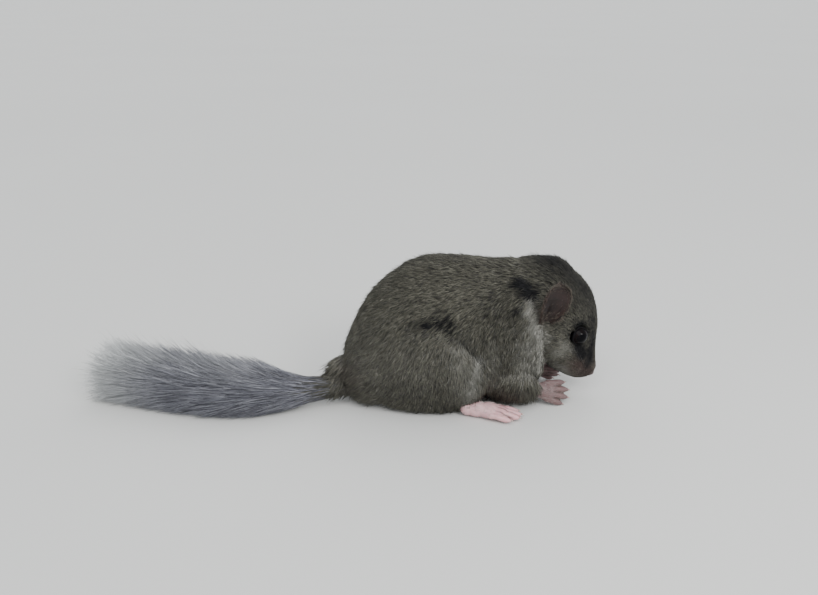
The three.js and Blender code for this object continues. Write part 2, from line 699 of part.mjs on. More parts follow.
// All the locks of the tail, ring after ring, each ring set between the locks of the last
function tailLocks() {
  const random = seededRandom(41);
  const around = (value, spread) => value * (1 + spread * (2 * random() - 1));
  const [firstRing, lowest, most] = [3.5, -0.12, 5];
  const span = Math.PI - 2 * lowest;
  const lastStart = TAIL_LENGTH + TAIL_BRUSH - LOCK_LENGTH;
  const rings = Math.floor((lastStart - firstRing) / RING_STEP);
  const locks = [];
  for (let ring = 0; ring <= rings; ring++) {
    const isOffset = ring % 2 === 1;
    const ringStart = firstRing + ring * RING_STEP;
    const size = 0.45 + 0.55 * tailShare((ringStart + 8) / TAIL_LENGTH);
    for (let i = 0; i < (isOffset ? most : most + 1); i++) {
      const start = ringStart + 1.2 * (random() - 0.5);
      const length = around(LOCK_LENGTH * size, 0.08);
      const plume = TAIL_PLUME * tailShare((start + length) / TAIL_LENGTH);
      const angle = lowest + (span * (i + (isOffset ? 0.5 : 0))) / most + 0.1 * (random() - 0.5);
      const halfWidth = LOCK_HALF_WIDTH * size;
      locks.push(risingLock({ start, angle, length, reach: around(plume, 0.04), halfWidth }));
    }
    if (tailShare(ringStart / TAIL_LENGTH) < 0.6) continue;
    for (const side of Object.values(SIDES)) {
      const reach = around(TAIL_PLUME * 1.04, 0.04);
      const length = around(LOCK_LENGTH * 0.9, 0.06);
      locks.push(floorLock({ start: ringStart, side, length, reach, halfWidth: LOCK_HALF_WIDTH * 1.1 }));
    }
  }
  const endFan = [0.1, 0.85, 1.57, 2.29, 3.04];
  for (const angle of endFan) {
    const start = TAIL_LENGTH - 4;
    const length = around(TAIL_LENGTH + TAIL_BRUSH - start, 0.04);
    const reach = TAIL_PLUME * 0.48;
    locks.push(risingLock({ start, angle, length, reach, halfWidth: LOCK_HALF_WIDTH * 0.9 }));
  }
  return locks;
}

// A thin slab across a line, to part two lengths
function partingSlab(at, towards) {
  const turn = new THREE.Quaternion().setFromUnitVectors(
    new THREE.Vector3(0, 0, 1),
    towards.clone().normalize(),
  );
  const slab = new THREE.BoxGeometry(200, 200, GAP);
  return solid(slab, new THREE.Matrix4().compose(at, turn, new THREE.Vector3(1, 1, 1)));
}

// Cuts a body at planes in order, and names the lengths from the first side to the last
function partAcross(body, planes, names, finish) {
  let rest = body;
  const lengths = planes.map(({ at, towards }) => {
    const beyond = halfSpace(at, towards);
    const clear = partingSlab(at, towards);
    const cut = rest.subtract(beyond).subtract(clear);
    rest = rest.intersect(beyond).subtract(clear);
    return cut;
  });
  return [...lengths, rest].map((length, i) => piece(names[i], length, finish));
}

// The head ends behind the ears and, lower down, behind the cheeks
const NAPE = {
  at: new THREE.Vector3(-HEAD_SPLIT, 0, 0).applyMatrix4(HEAD_FRAME),
  towards: new THREE.Vector3(1, 0, 0).transformDirection(HEAD_FRAME),
};
const JAW = { at: new THREE.Vector3(33.2, 0, 27.9), towards: new THREE.Vector3(0.976, 0, 0.219) };

// The room on the head's side of both, reaching back by a gap
function headRoom(gap) {
  const [above, below] = [NAPE, JAW].map(({ at, towards }) =>
    halfSpace(at.clone().addScaledVector(towards, -gap), towards),
  );
  return above.intersect(below);
}

const inHead = (body) => body.transform(HEAD_FRAME.elements);

// Head, nape and body together, out to the coat's surface
function wholeSkin(grow = 0) {
  const nape = egg(new THREE.Vector3(28.6, 0, 26.4), new THREE.Vector3(12, 12.3, 13.3), {
    around: 18,
    along: 12,
    grow,
  });
  return joined([solid(trunkSkin({ grow })), inHead(solid(headSkin({ grow }))), nape]);
}

const model = new THREE.Group();
const coat = wholeSkin();
const coatGrown = wholeSkin(GAP);

const { flesh, hollows } = face();
const head = coat.intersect(headRoom(0)).add(inHead(flesh)).subtract(inHead(hollows));
model.add(piece("head", head, FUR));
for (const [name, side] of Object.entries(SIDES)) {
  model.add(piece("eye_" + name, inHead(eyeball(side)), EYE_BLACK));
  model.add(piece("ear_" + name, inHead(ear(EARS[name])).subtract(coatGrown), EAR_SKIN));
}

// Feet, then the legs that they leave room in
const headGrown = coatGrown.intersect(headRoom(GAP));
const standing = Object.keys(FEET).map((name) => [name, standingFoot(name)]);
for (const [name, body] of standing) {
  model.add(piece(name, body.intersect(ABOVE_FLOOR).subtract(headGrown), PINK_SKIN));
}

let trunk = coat.subtract(headRoom(GAP)).intersect(ABOVE_FLOOR);
for (const [name, side] of Object.entries(SIDES)) {
  const hindFoot = standingFoot("hind_foot_" + name, GAP);
  const forePaw = standingFoot("forepaw_" + name, GAP);
  const lower = foreleg(side).subtract(joined([forePaw, hindFoot, headGrown]));
  const upper = thigh(side).subtract(joined([hindFoot, foreleg(side, GAP)]));
  model.add(piece("foreleg_" + name, lower.intersect(ABOVE_FLOOR), FUR));
  model.add(piece("thigh_" + name, upper.intersect(ABOVE_FLOOR), FUR));
  trunk = trunk.subtract(joined([thigh(side, GAP), foreleg(side, GAP), hindFoot, forePaw]));
}

const TRUNK_CUTS = [
  { at: new THREE.Vector3(-4, 0, 20), towards: new THREE.Vector3(1, 0, -0.15) },
  { at: new THREE.Vector3(14, 0, 20), towards: new THREE.Vector3(1, 0, 0) },
  { at: new THREE.Vector3(28, 0, 26), towards: new THREE.Vector3(0.95, 0, 0.3) },
];
model.add(...partAcross(trunk, TRUNK_CUTS, ["rump", "belly", "chest", "neck"], FUR));

// The tail in four lengths from the rump to the tip. Each length's locks lie over the next one,
// which is cut clear of them
const besideRump = joined([coatGrown, thigh(SIDES.right, GAP), thigh(SIDES.left, GAP)]);
const TAIL_ENDS = [0, 19.2, 33, 46.8, TAIL_LENGTH + 1];
const tailNames = ["tail_root", "tail_near", "tail_far", "tail_tip"];
const locks = tailLocks();
const core = tailCore();
tailNames.forEach((name, i) => {
  const [from, to] = [TAIL_ENDS[i], TAIL_ENDS[i + 1]];
  const own = locks.filter(({ start }) => start >= from && start < to);
  const over = locks.filter(({ start }) => start < from && start > from - LOCK_LENGTH * 1.2);
  const [near, far] = [tailFrame(from), tailFrame(to)];
  let length = core;
  if (i > 0) length = length.intersect(halfSpace(near.centre, near.heading));
  if (to < TAIL_LENGTH) {
    const clear = far.centre.addScaledVector(far.heading, -GAP);
    length = length.subtract(halfSpace(clear, far.heading));
  }
  const covered = joined([length, ...own.map((one) => lock(one))]).intersect(ABOVE_FLOOR);
  const clearOf = joined([besideRump, ...over.map((one) => lock(one, GAP))]);
  model.add(piece(name, covered.subtract(clearOf), TAIL_HAIR));
});

// The middle of the footprint is the origin
const footprint = new THREE.Box3().setFromObject(model, true);
model.position.set(
  -(footprint.min.x + footprint.max.x) / 2,
  -(footprint.min.y + footprint.max.y) / 2,
  0,
);

export default model;
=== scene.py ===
"""Dresses the woodland dormouse: one skin under a coat of tufts, the tail's brush, face, ears and feet.

Places and sizes are in millimetres in the animal's own frame, that of its solids: +X towards the
nose, +Y to its left, +Z up from the floor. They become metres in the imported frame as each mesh
is made.
"""

from __future__ import annotations

import logging
import math
from collections.abc import Callable, Sequence
from dataclasses import dataclass, field
from enum import Enum

import bpy
import numpy as np
from bpy.types import ID, Material, Mesh, Node, NodeSocket, NodeTree, Object
from mathutils import Matrix, Vector
from mathutils.kdtree import KDTree
from numpy.random import Generator, default_rng


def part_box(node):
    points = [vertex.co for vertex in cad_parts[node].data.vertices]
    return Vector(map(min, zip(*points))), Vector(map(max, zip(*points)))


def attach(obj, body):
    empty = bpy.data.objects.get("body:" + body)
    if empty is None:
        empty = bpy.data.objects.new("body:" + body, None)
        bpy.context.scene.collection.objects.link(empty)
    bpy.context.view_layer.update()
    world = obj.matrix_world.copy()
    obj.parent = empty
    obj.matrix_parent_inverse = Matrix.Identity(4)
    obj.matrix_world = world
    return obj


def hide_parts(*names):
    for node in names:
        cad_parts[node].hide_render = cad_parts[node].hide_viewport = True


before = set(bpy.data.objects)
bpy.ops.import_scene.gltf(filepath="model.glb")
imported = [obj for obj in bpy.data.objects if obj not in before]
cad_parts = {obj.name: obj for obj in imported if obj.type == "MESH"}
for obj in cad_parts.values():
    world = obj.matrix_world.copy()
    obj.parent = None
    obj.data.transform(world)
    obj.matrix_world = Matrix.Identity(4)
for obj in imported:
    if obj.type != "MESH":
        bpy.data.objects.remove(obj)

log = logging.getLogger("dormouse")

Array = np.ndarray
Pair = tuple[float, float]
Triple = tuple[float, float, float]

MM = 0.001

UP = np.array((0.0, 0.0, 1.0))

# The lowest that tufts, feet and the body's skin reach over the floor
HAIR_FLOOR = 0.04
FOOT_FLOOR = 0.02
SKIN_FLOOR = 0.5

# The head's own frame: its origin is the nose tip, +X runs out of the nose, +Z over the crown
HEAD_PITCH = math.radians(58)
NOSE_TIP = np.array((51.3, 0.0, 5.6))
EYE_PLACE = np.array((-15.3, 6.3, 2.9))
EYE_FACING = np.array((0.34, 0.9, 0.26)) / np.linalg.norm((0.34, 0.9, 0.26))
EYE_OPENING = 2.7
EAR_HEIGHT = 12.4


class Side(Enum):
    """A side of the animal, with the sign of its Y."""

    LEFT = 1
    RIGHT = -1

    @property
    def label(self) -> str:
        """The side's name as pieces carry it."""
        return self.name.lower()

    def mirror(self, point: Sequence[float] | Array) -> Array:
        """A place or direction given for the left side, on this side."""
        return np.asarray(point, float) * (1.0, self.value, 1.0)


class Tone(Enum):
    """What a marking does to the coat, by its place in the marks attribute."""

    PALE = 0
    DARK = 1
    WARM = 2


def from_head(points: Array) -> Array:
    """Points of the head's frame in the animal's frame.

    Args:
        points: Places with X, Y and Z along the last axis.

    Returns:
        The same places in the animal's frame.
    """
    points = np.asarray(points, float)
    cos, sin = math.cos(HEAD_PITCH), math.sin(HEAD_PITCH)
    x, y, z = points[..., 0], points[..., 1], points[..., 2]
    return NOSE_TIP + np.stack((cos * x + sin * z, y, cos * z - sin * x), axis=-1)


def to_head(points: Array) -> Array:
    """Points of the animal's frame in the head's frame.

    Args:
        points: Places with X, Y and Z along the last axis.

    Returns:
        The same places in the head's frame.
    """
    away = np.asarray(points, float) - NOSE_TIP
    cos, sin = math.cos(HEAD_PITCH), math.sin(HEAD_PITCH)
    x, y, z = away[..., 0], away[..., 1], away[..., 2]
    return np.stack((cos * x - sin * z, y, cos * z + sin * x), axis=-1)


def turned_from_head(directions: Array) -> Array:
    """Directions of the head's frame in the animal's frame."""
    return from_head(directions) - NOSE_TIP


def frame_shift() -> Array:
    """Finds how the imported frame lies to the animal's, from the place of an eye.

    Returns:
        What is added to a place in the animal's frame, in millimetres.
    """
    low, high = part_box("eye_right")
    middle = (np.array(low) + np.array(high)) / (2 * MM)
    shift = middle - from_head(Side.RIGHT.mirror(EYE_PLACE))
    shift[2] = 0.0
    return shift


SHIFT = frame_shift()


def packed(points: Array) -> Array:
    """Places of the animal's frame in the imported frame, in metres."""
    return (points + SHIFT) * MM


def unit(vectors: Array) -> Array:
    """Vectors scaled to length one."""
    lengths = np.linalg.norm(vectors, axis=-1, keepdims=True)
    return vectors / np.maximum(lengths, 1e-9)


def tangent(directions: Array, normals: Array) -> Array:
    """Directions laid down on the surface that has the given normals."""
    return unit(directions - np.sum(directions * normals, axis=-1, keepdims=True) * normals)


def rising(values: Array, start: float, over: float) -> Array:
    """A share that is 0 up to a start and climbs straight to 1 over the next stretch."""
    return np.clip((values - start) / over, 0, 1)


def nearness(points: Array, place: Sequence[float] | Array, spread: float) -> Array:
    """1 at a place, falling to about a third where the squared distance is the spread."""
    return np.exp(-np.sum((points - place) ** 2, axis=1) / spread)


@dataclass(frozen=True)
class Profile:
    """A smooth curve through stations of (position, value), without overshoot between them."""

    stations: tuple[Pair, ...]

    def __call__(self, at: Array | float) -> Array:
        """The curve's values.

        Args:
            at: Positions to read, held to the ends of the curve.

        Returns:
            One value for each position.
        """
        xs, ys = np.array(self.stations, float).T
        slopes = np.diff(ys) / np.diff(xs)
        before, after = slopes[:-1], slopes[1:]
        same_way = before * after > 0
        total = np.where(same_way, before + after, 1.0)
        inner = np.where(same_way, 2 * before * after / total, 0.0)
        tangents = np.concatenate((slopes[:1], inner, slopes[-1:]))
        x = np.clip(np.asarray(at, float), xs[0], xs[-1])
        i = np.clip(np.searchsorted(xs, x, side="right") - 1, 0, len(xs) - 2)
        step = xs[i + 1] - xs[i]
        t = (x - xs[i]) / step
        start = (2 * t**3 - 3 * t**2 + 1) * ys[i] + (t**3 - 2 * t**2 + t) * step * tangents[i]
        end = (3 * t**2 - 2 * t**3) * ys[i + 1] + (t**3 - t**2) * step * tangents[i + 1]
        return start + end


def ripple(points: Array, size: float, seed: float = 0.0) -> Array:
    """A smooth, random-looking wave through space.

    Args:
        points: Places in millimetres.
        size: The distance between crests.
        seed: Picks another wave of the same size.

    Returns:
        A value for each place, mostly between -1 and 1.
    """
    turn = 2 * math.pi / size
    total = np.zeros(points.shape[:-1])
    for k in range(5):
        phase = seed * 1.7 + k * 2.39
        way = np.array((math.sin(phase * 3.1), math.cos(phase * 2.3), math.sin(phase * 1.3 + 1)))
        total += np.sin(points @ way * turn * (0.7 + 0.22 * k) + phase * 5.0)
    return total / 2.6


def distance_to_line(points: Array, line: Array) -> Array:
    """How far points lie from a line of straight lengths.

    Args:
        points: Places, one a row.
        line: The line's corners in order, at least one.

    Returns:
        The distance of each point from the nearest part of the line.
    """
    if len(line) == 1:
        return np.linalg.norm(points - line[0], axis=1)
    nearest = np.full(len(points), 1e9)
    for start, end in zip(line[:-1], line[1:]):
        along = end - start
        share = np.clip((points - start) @ along / (along @ along), 0, 1)
        nearest = np.minimum(nearest, np.linalg.norm(points - start - share[:, None] * along, axis=1))
    return nearest


# Meshes


def select_only(thing: Object) -> None:
    """Deselects everything else and makes one object active.

    Args:
        thing: The object.
    """
    bpy.ops.object.select_all(action="DESELECT")
    thing.select_set(True)
    bpy.context.view_layer.objects.active = thing


def linked(name: str, data: ID) -> Object:
    """Puts data into the scene.

    Args:
        name: The object's name.
        data: A mesh, curve, light or camera.

    Returns:
        The new object, at the origin.
    """
    made = bpy.data.objects.new(name, data)
    bpy.context.scene.collection.objects.link(made)
    return made


def mesh_object(name: str, vertices: Array, triangles: Array) -> Object:
    """A smooth-shaded mesh object from arrays.

    Args:
        name: The object's name.
        vertices: Places in the animal's frame, in millimetres.
        triangles: Three vertex numbers a row.

    Returns:
        The object, at the origin and linked to the scene.
    """
    mesh = bpy.data.meshes.new(name)
    mesh.vertices.add(len(vertices))
    mesh.vertices.foreach_set("co", packed(vertices).astype(np.float32).ravel())
    mesh.loops.add(3 * len(triangles))
    mesh.loops.foreach_set("vertex_index", triangles.astype(np.int32).ravel())
    mesh.polygons.add(len(triangles))
    mesh.polygons.foreach_set("loop_start", np.arange(len(triangles), dtype=np.int32) * 3)
    mesh.polygons.foreach_set("loop_total", np.full(len(triangles), 3, np.int32))
    mesh.update(calc_edges=True)
    made = linked(name, mesh)
    shade_smooth(made)
    return made


def shade_smooth(thing: Object) -> None:
    """Shades every face of a mesh object smooth."""
    thing.data.polygons.foreach_set("use_smooth", np.ones(len(thing.data.polygons), bool))


def vertex_vectors(thing: Object, kind: str = "co") -> Array:
    """Reads a vector of every vertex.

    Args:
        thing: The mesh object.
        kind: "co" for the places as the mesh holds them, or "normal".

    Returns:
        One row a vertex.
    """
    flat = np.empty(len(thing.data.vertices) * 3, np.float32)
    thing.data.vertices.foreach_get(kind, flat)
    return flat.reshape(-1, 3).astype(float)


def corner_numbers(mesh: Mesh) -> Array:
    """Reads which vertices the faces join.

    Args:
        mesh: The mesh.

    Returns:
        The vertex number at every face corner.
    """
    numbers = np.empty(len(mesh.loops), np.int32)
    mesh.loops.foreach_get("vertex_index", numbers)
    return numbers


def places(thing: Object) -> Array:
    """The vertices of an object, in millimetres in the animal's frame."""
    return vertex_vectors(thing) / MM - SHIFT


def move_to(thing: Object, points: Array) -> None:
    """Puts the vertices of an object at places in the animal's frame."""
    thing.data.vertices.foreach_set("co", packed(points).astype(np.float32).ravel())
    thing.data.update()


def put_vectors(mesh: Mesh, name: str, values: Array) -> None:
    """Stores a vector for each vertex of a mesh as a named attribute."""
    attribute = mesh.attributes.new(name, "FLOAT_VECTOR", "POINT")
    attribute.data.foreach_set("vector", values.astype(np.float32).ravel())


def put_skin(mesh: Mesh, flush: Array, deep: Array) -> None:
    """Stores how flushed bare skin is at each vertex of a mesh, and how much shade is painted on it
    there.
    """
    put_vectors(mesh, "skin", np.stack((flush, deep, np.zeros(len(flush))), axis=1))


def put_values(mesh: Mesh, name: str, values: Array) -> None:
    """Stores a number for each vertex of a mesh as a named attribute."""
    attribute = mesh.attributes.new(name, "FLOAT", "POINT")
    attribute.data.foreach_set("value", values.astype(np.float32).ravel())


def apply_modifier(thing: Object, kind: str, **settings: object) -> None:
    """Adds a modifier, sets it up and applies it.

    Args:
        thing: The object to change.
        kind: The modifier's type.
        **settings: Its settings by name.
    """
    select_only(thing)
    modifier = thing.modifiers.new(kind.title(), kind)
    for name, value in settings.items():
        setattr(modifier, name, value)
    bpy.ops.object.modifier_apply(modifier=modifier.name)


def in_edit_mode(thing: Object, operator: Callable[..., object], **settings: object) -> None:
    """Runs an edit-mode operator on the whole of one mesh.

    Args:
        thing: The mesh object to edit.
        operator: The operator.
        **settings: Its settings.
    """
    select_only(thing)
    bpy.ops.object.mode_set(mode="EDIT")
    bpy.ops.mesh.select_all(action="SELECT")
    operator(**settings)
    bpy.ops.object.mode_set(mode="OBJECT")


def point_outwards(thing: Object) -> None:
    """Turns the faces of a closed mesh outwards."""
    in_edit_mode(thing, bpy.ops.mesh.normals_make_consistent, inside=False)


def unwrap_all(thing: Object, angle: float, margin: float) -> None:
    """Unwraps a mesh over one square, with islands of faces turned by less than an angle."""
    limit = math.radians(angle)
    in_edit_mode(thing, bpy.ops.uv.smart_project, angle_limit=limit, island_margin=margin)


ADD_SPHERE = bpy.ops.mesh.primitive_uv_sphere_add


def primitive(name: str, add: Callable[..., object], **settings: object) -> tuple[Object, Array]:
    """Adds a primitive as the start of a piece.

    Args:
        name: The piece's name.
        add: The operator that adds the primitive.
        **settings: The operator's settings.

    Returns:
        The new object, and its vertices as its mesh holds them.
    """
    bpy.ops.object.select_all(action="DESELECT")
    add(**settings)
    made = bpy.context.object
    made.name = made.data.name = name
    return made, vertex_vectors(made)


def egg(middle: Array, size: Sequence[float]) -> Object:
    """An ellipsoid.

    Args:
        middle: Its middle in the animal's frame.
        size: Its half lengths.

    Returns:
        The new object.
    """
    made, ways = primitive("egg", ADD_SPHERE, segments=32, ring_count=20, radius=1.0)
    move_to(made, middle + ways * size)
    return made


def tube(line: Array, radii: Array) -> Object:
    """A closed round tube.

    Args:
        line: Its axis in the animal's frame.
        radii: Its radius at each place of the axis.

    Returns:
        The new object.
    """
    curve = bpy.data.curves.new("tube", "CURVE")
    curve.dimensions = "3D"
    curve.bevel_depth = MM
    curve.bevel_resolution = 4
    curve.use_fill_caps = True
    spline = curve.splines.new("POLY")
    spline.points.add(len(line) - 1)
    for point, place, radius in zip(spline.points, packed(line), radii):
        point.co = (*place, 1.0)
        point.radius = float(radius)
    select_only(linked("tube", curve))
    bpy.ops.object.convert(target="MESH")
    return bpy.context.view_layer.objects.active


def merged(parts: Sequence[Object], name: str, voxel: float) -> Object:
    """Joins closed parts and gives them one skin.

    Args:
        parts: The parts.
        name: The result's name.
        voxel: How fine the skin is, in millimetres.

    Returns:
        The first part, which now has all of them.
    """
    select_only(parts[0])
    for part in parts:
        part.select_set(True)
    bpy.ops.object.join()
    parts[0].name = parts[0].data.name = name
    apply_modifier(parts[0], "REMESH", mode="VOXEL", voxel_size=voxel * MM)
    return parts[0]


def copy_of_node(node: str, name: str) -> Object:
    """A merged copy of a CAD node's mesh, free of the frame.

    Args:
        node: The node to copy.
        name: The copy's name.

    Returns:
        The new object.
    """
    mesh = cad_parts[node].data.copy()
    mesh.materials.clear()
    made = linked(name, mesh)
    in_edit_mode(made, bpy.ops.mesh.remove_doubles, threshold=1e-6)
    return made


def finished(
    piece: Object,
    material: Material,
    stands_for: Sequence[str] = (),
) -> Object:
    """Dresses a piece, lets it ride on the body and logs it.

    Args:
        piece: The piece in its place.
        material: Its finish.
        stands_for: CAD nodes that the piece replaces.

    Returns:
        The same piece.
    """
    piece.data.materials.clear()
    piece.data.materials.append(material)
    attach(piece, "root")
    if stands_for:
        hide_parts(*stands_for)
    log.info("%s: %d faces", piece.name, len(piece.data.polygons))
    return piece


# Finishes

Colour = Triple
Inputs = dict[str | int, object]


def linear(red: int, green: int, blue: int) -> tuple[float, float, float, float]:
    """A display colour as the linear colour that shaders use.

    Args:
        red: 0 to 255.
        green: 0 to 255.
        blue: 0 to 255.

    Returns:
        The colour with full opacity.
    """
    shares = [value / 255 for value in (red, green, blue)]
    curved = [s / 12.92 if s <= 0.04045 else ((s + 0.055) / 1.055) ** 2.4 for s in shares]
    return (*curved, 1.0)


class Graph:
    """A node tree while it is wired."""

    def __init__(self, tree: NodeTree) -> None:
        """Takes up a tree."""
        self.tree = tree

    def fill(self, node: Node, inputs: Inputs) -> None:
        """Sets inputs of a node, or links them.

        Args:
            node: The node.
            inputs: Values or sockets by the name or number of the input.
        """
        for name, value in inputs.items():
            if isinstance(value, NodeSocket):
                self.tree.links.new(value, node.inputs[name])
            else:
                node.inputs[name].default_value = value

    def node(self, kind: str, inputs: Inputs | None = None, **settings: object) -> Node:
        """Adds a node.

        Args:
            kind: The node's type.
            inputs: Values or sockets by the name or number of the input.
            **settings: The node's own settings.

        Returns:
            The node.
        """
        made = self.tree.nodes.new(kind)
        for name, value in settings.items():
            setattr(made, name, value)
        self.fill(made, inputs or {})
        return made

    def blend(self, share: object, first: object, second: object) -> object:
        """Mixes two colours or sockets, with a share of the second."""
        inputs = {0: share, 6: first, 7: second}
        return self.node("ShaderNodeMix", inputs, data_type="RGBA").outputs[2]

    def maths(self, operation: str, *numbers: object, clamped: bool = True) -> object:
        """The result of an operation on numbers or sockets, held from 0 to 1 if clamped."""
        inputs = dict(enumerate(numbers))
        return self.node("ShaderNodeMath", inputs, operation=operation, use_clamp=clamped).outputs[0]

    def scaled(self, colour: object, factor: object) -> object:
        """A colour made lighter or darker by a number or socket."""
        inputs = {0: colour, "Scale": factor}
        return self.node("ShaderNodeVectorMath", inputs, operation="SCALE").outputs[0]

    def span(self, value: object, ends: Sequence[float], **settings: object) -> object:
        """A number mapped so that the first two ends become the last two."""
        inputs = dict(enumerate((value, *ends)))
        return self.node("ShaderNodeMapRange", inputs, **settings).outputs[0]

    def ramp(self, value: object, low: float, high: float) -> object:
        """A smooth rise from 0 at the low value to 1 at the high one."""
        return self.span(value, (low, high, 0.0, 1.0), interpolation_type="SMOOTHSTEP")

    def noise(self, scale: float, detail: float = 2.0) -> object:
        """Noise through the object's own space.

        Args:
            scale: Its fineness, in waves a metre.
            detail: How many finer layers it has.

        Returns:
            The socket of its value.
        """
        where = self.node("ShaderNodeTexCoord").outputs["Object"]
        inputs = {"Vector": where, "Scale": scale, "Detail": detail}
        return self.node("ShaderNodeTexNoise", inputs).outputs[0]

    def vector(self, name: str) -> list[NodeSocket]:
        """The three parts of a vector attribute."""
        read = self.node("ShaderNodeAttribute", attribute_name=name).outputs["Vector"]
        return list(self.node("ShaderNodeSeparateXYZ", {0: read}).outputs)

    def value(self, name: str) -> object:
        """A number attribute."""
        return self.node("ShaderNodeAttribute", attribute_name=name).outputs["Fac"]


def shader_group(name: str, inputs: Inputs, output: str) -> tuple[Graph, Inputs, object]:
    """A new shader node group with named sockets.

    Args:
        name: The group's name.
        inputs: The default of each input by its name: a colour or a number.
        output: The name of its one output, a colour, or a number if it is Height.

    Returns:
        The group's graph, its input sockets by name, and its output socket.
    """
    tree = bpy.data.node_groups.new(name, "ShaderNodeTree")
    for label, default in inputs.items():
        kind = "NodeSocketFloat" if isinstance(default, float) else "NodeSocketColor"
        socket = tree.interface.new_socket(name=label, in_out="INPUT", socket_type=kind)
        socket.default_value = default
    kind = "NodeSocketFloat" if output == "Height" else "NodeSocketColor"
    tree.interface.new_socket(name=output, in_out="OUTPUT", socket_type=kind)
    graph = Graph(tree)
    given = tree.nodes.new("NodeGroupInput").outputs
    result = tree.nodes.new("NodeGroupOutput").inputs[output]
    return graph, {label: given[label] for label in inputs}, result


# The grizzle group's colours, which are HairFinish's too
HAIR_COLOURS = ("Root", "Middle", "Tip", "Pale Tip", "Dark Tip", "Pale", "Dark", "Warm")


def grizzle_group() -> NodeTree:
    """The colours of hair from root to tip, with the coat's markings, the shade and light painted with
    them, and each lock's own shade.

    Returns:
        The node group.
    """
    grey = (0.1, 0.1, 0.1, 1.0)
    inputs: Inputs = {name: grey for name in HAIR_COLOURS}
    inputs.update({"Pale Share": 0.3, "Dark Share": 0.25, "Grain": 0.3})
    graph, given, result = shader_group("grizzle", inputs, "Color")
    pale, dark, warm = graph.vector("marks")
    along, pick, shade = graph.vector("strand")
    lower = graph.blend(graph.ramp(along, 0.0, 0.5), given["Root"], given["Middle"])
    is_dark = graph.maths("LESS_THAN", pick, given["Dark Share"])
    is_pale = graph.maths("GREATER_THAN", pick, graph.maths("SUBTRACT", 1.0, given["Pale Share"]))
    tip = graph.blend(is_dark, given["Tip"], given["Dark Tip"])
    tip = graph.blend(is_pale, tip, given["Pale Tip"])
    hair = graph.blend(graph.ramp(along, 0.3, 0.85), lower, tip)
    reach = graph.span(along, (0.0, 0.7, 0.35, 1.0))
    # The pale marks are the coat's pale fur, and in one place painted light that lifts the shade between
    # thigh and foreleg
    hair = graph.blend(graph.maths("MULTIPLY", pale, reach), hair, given["Pale"])
    hair = graph.blend(graph.maths("MULTIPLY", warm, reach), hair, given["Warm"])
    # The dark marks are the coat's dark fur, and painted shade too: along creases, round the ears, at
    # the tail's root and over the forepaws' hair
    hair = graph.blend(dark, hair, given["Dark"])
    patches = graph.ramp(graph.noise(160.0), 0.3, 0.7)
    swing = graph.maths("ADD", shade, patches, clamped=False)
    level = graph.span(swing, (0.0, 2.0, -1.0, 1.0))
    gain = graph.maths("MULTIPLY_ADD", level, given["Grain"], 1.0, clamped=False)
    graph.tree.links.new(graph.scaled(hair, gain), result)
    return graph.tree


def pores_group() -> NodeTree:
    """The fine creases and pores of bare skin, as a height.

    Returns:
        The node group.
    """
    graph, given, result = shader_group("pores", {"Crease Scale": 900.0, "Depth": 0.5}, "Height")
    where = graph.node("ShaderNodeTexCoord").outputs["Object"]
    cells = graph.node("ShaderNodeTexVoronoi", {"Vector": where, "Scale": given["Crease Scale"]})
    soft = graph.noise(420.0, 4.0)
    both = graph.maths("MULTIPLY", cells.outputs["Distance"], given["Depth"])
    graph.tree.links.new(graph.maths("ADD", both, soft), result)
    return graph.tree


def new_material(name: str) -> tuple[Material, Graph, Node]:
    """A material with a Principled shader ready to wire.

    Args:
        name: The material's name.

    Returns:
        The material, its graph and its shader.
    """
    made = bpy.data.materials.new(name)
    made.use_nodes = True
    graph = Graph(made.node_tree)
    return made, graph, made.node_tree.nodes["Principled BSDF"]


@dataclass(frozen=True)
class HairFinish:
    """Grizzled hair: slate roots, olive middles, and tips in three shades."""

    name: str
    root: Colour
    middle: Colour
    tip: Colour
    pale_tip: Colour
    dark_tip: Colour
    pale: Colour = (154, 153, 146)
    # Dark fur of the markings, and the colour of painted shade where a dark mark stands for shade
    dark: Colour = (14, 14, 16)
    warm: Colour = (80, 65, 60)
    pale_share: float = 0.3
    dark_share: float = 0.25
    grain: float = 0.2
    roughness: float = 0.72
    gloss: float = 0.3

    def build(self, group: NodeTree) -> Material:
        """Makes the material.

        Args:
            group: The grizzle group.

        Returns:
            The material.
        """
        made, graph, shader = new_material(self.name)
        inputs = {name: linear(*getattr(self, name.lower().replace(" ", "_"))) for name in HAIR_COLOURS}
        inputs |= {"Pale Share": self.pale_share, "Dark Share": self.dark_share, "Grain": self.grain}
        colour = graph.node("ShaderNodeGroup", inputs, node_tree=group).outputs["Color"]
        ends = (0.3, 0.7, self.roughness - 0.08, self.roughness + 0.08)
        rough = graph.span(graph.noise(700.0), ends)
        graph.fill(shader, {"Base Color": colour, "Roughness": rough, "Specular IOR Level": self.gloss})
        return made


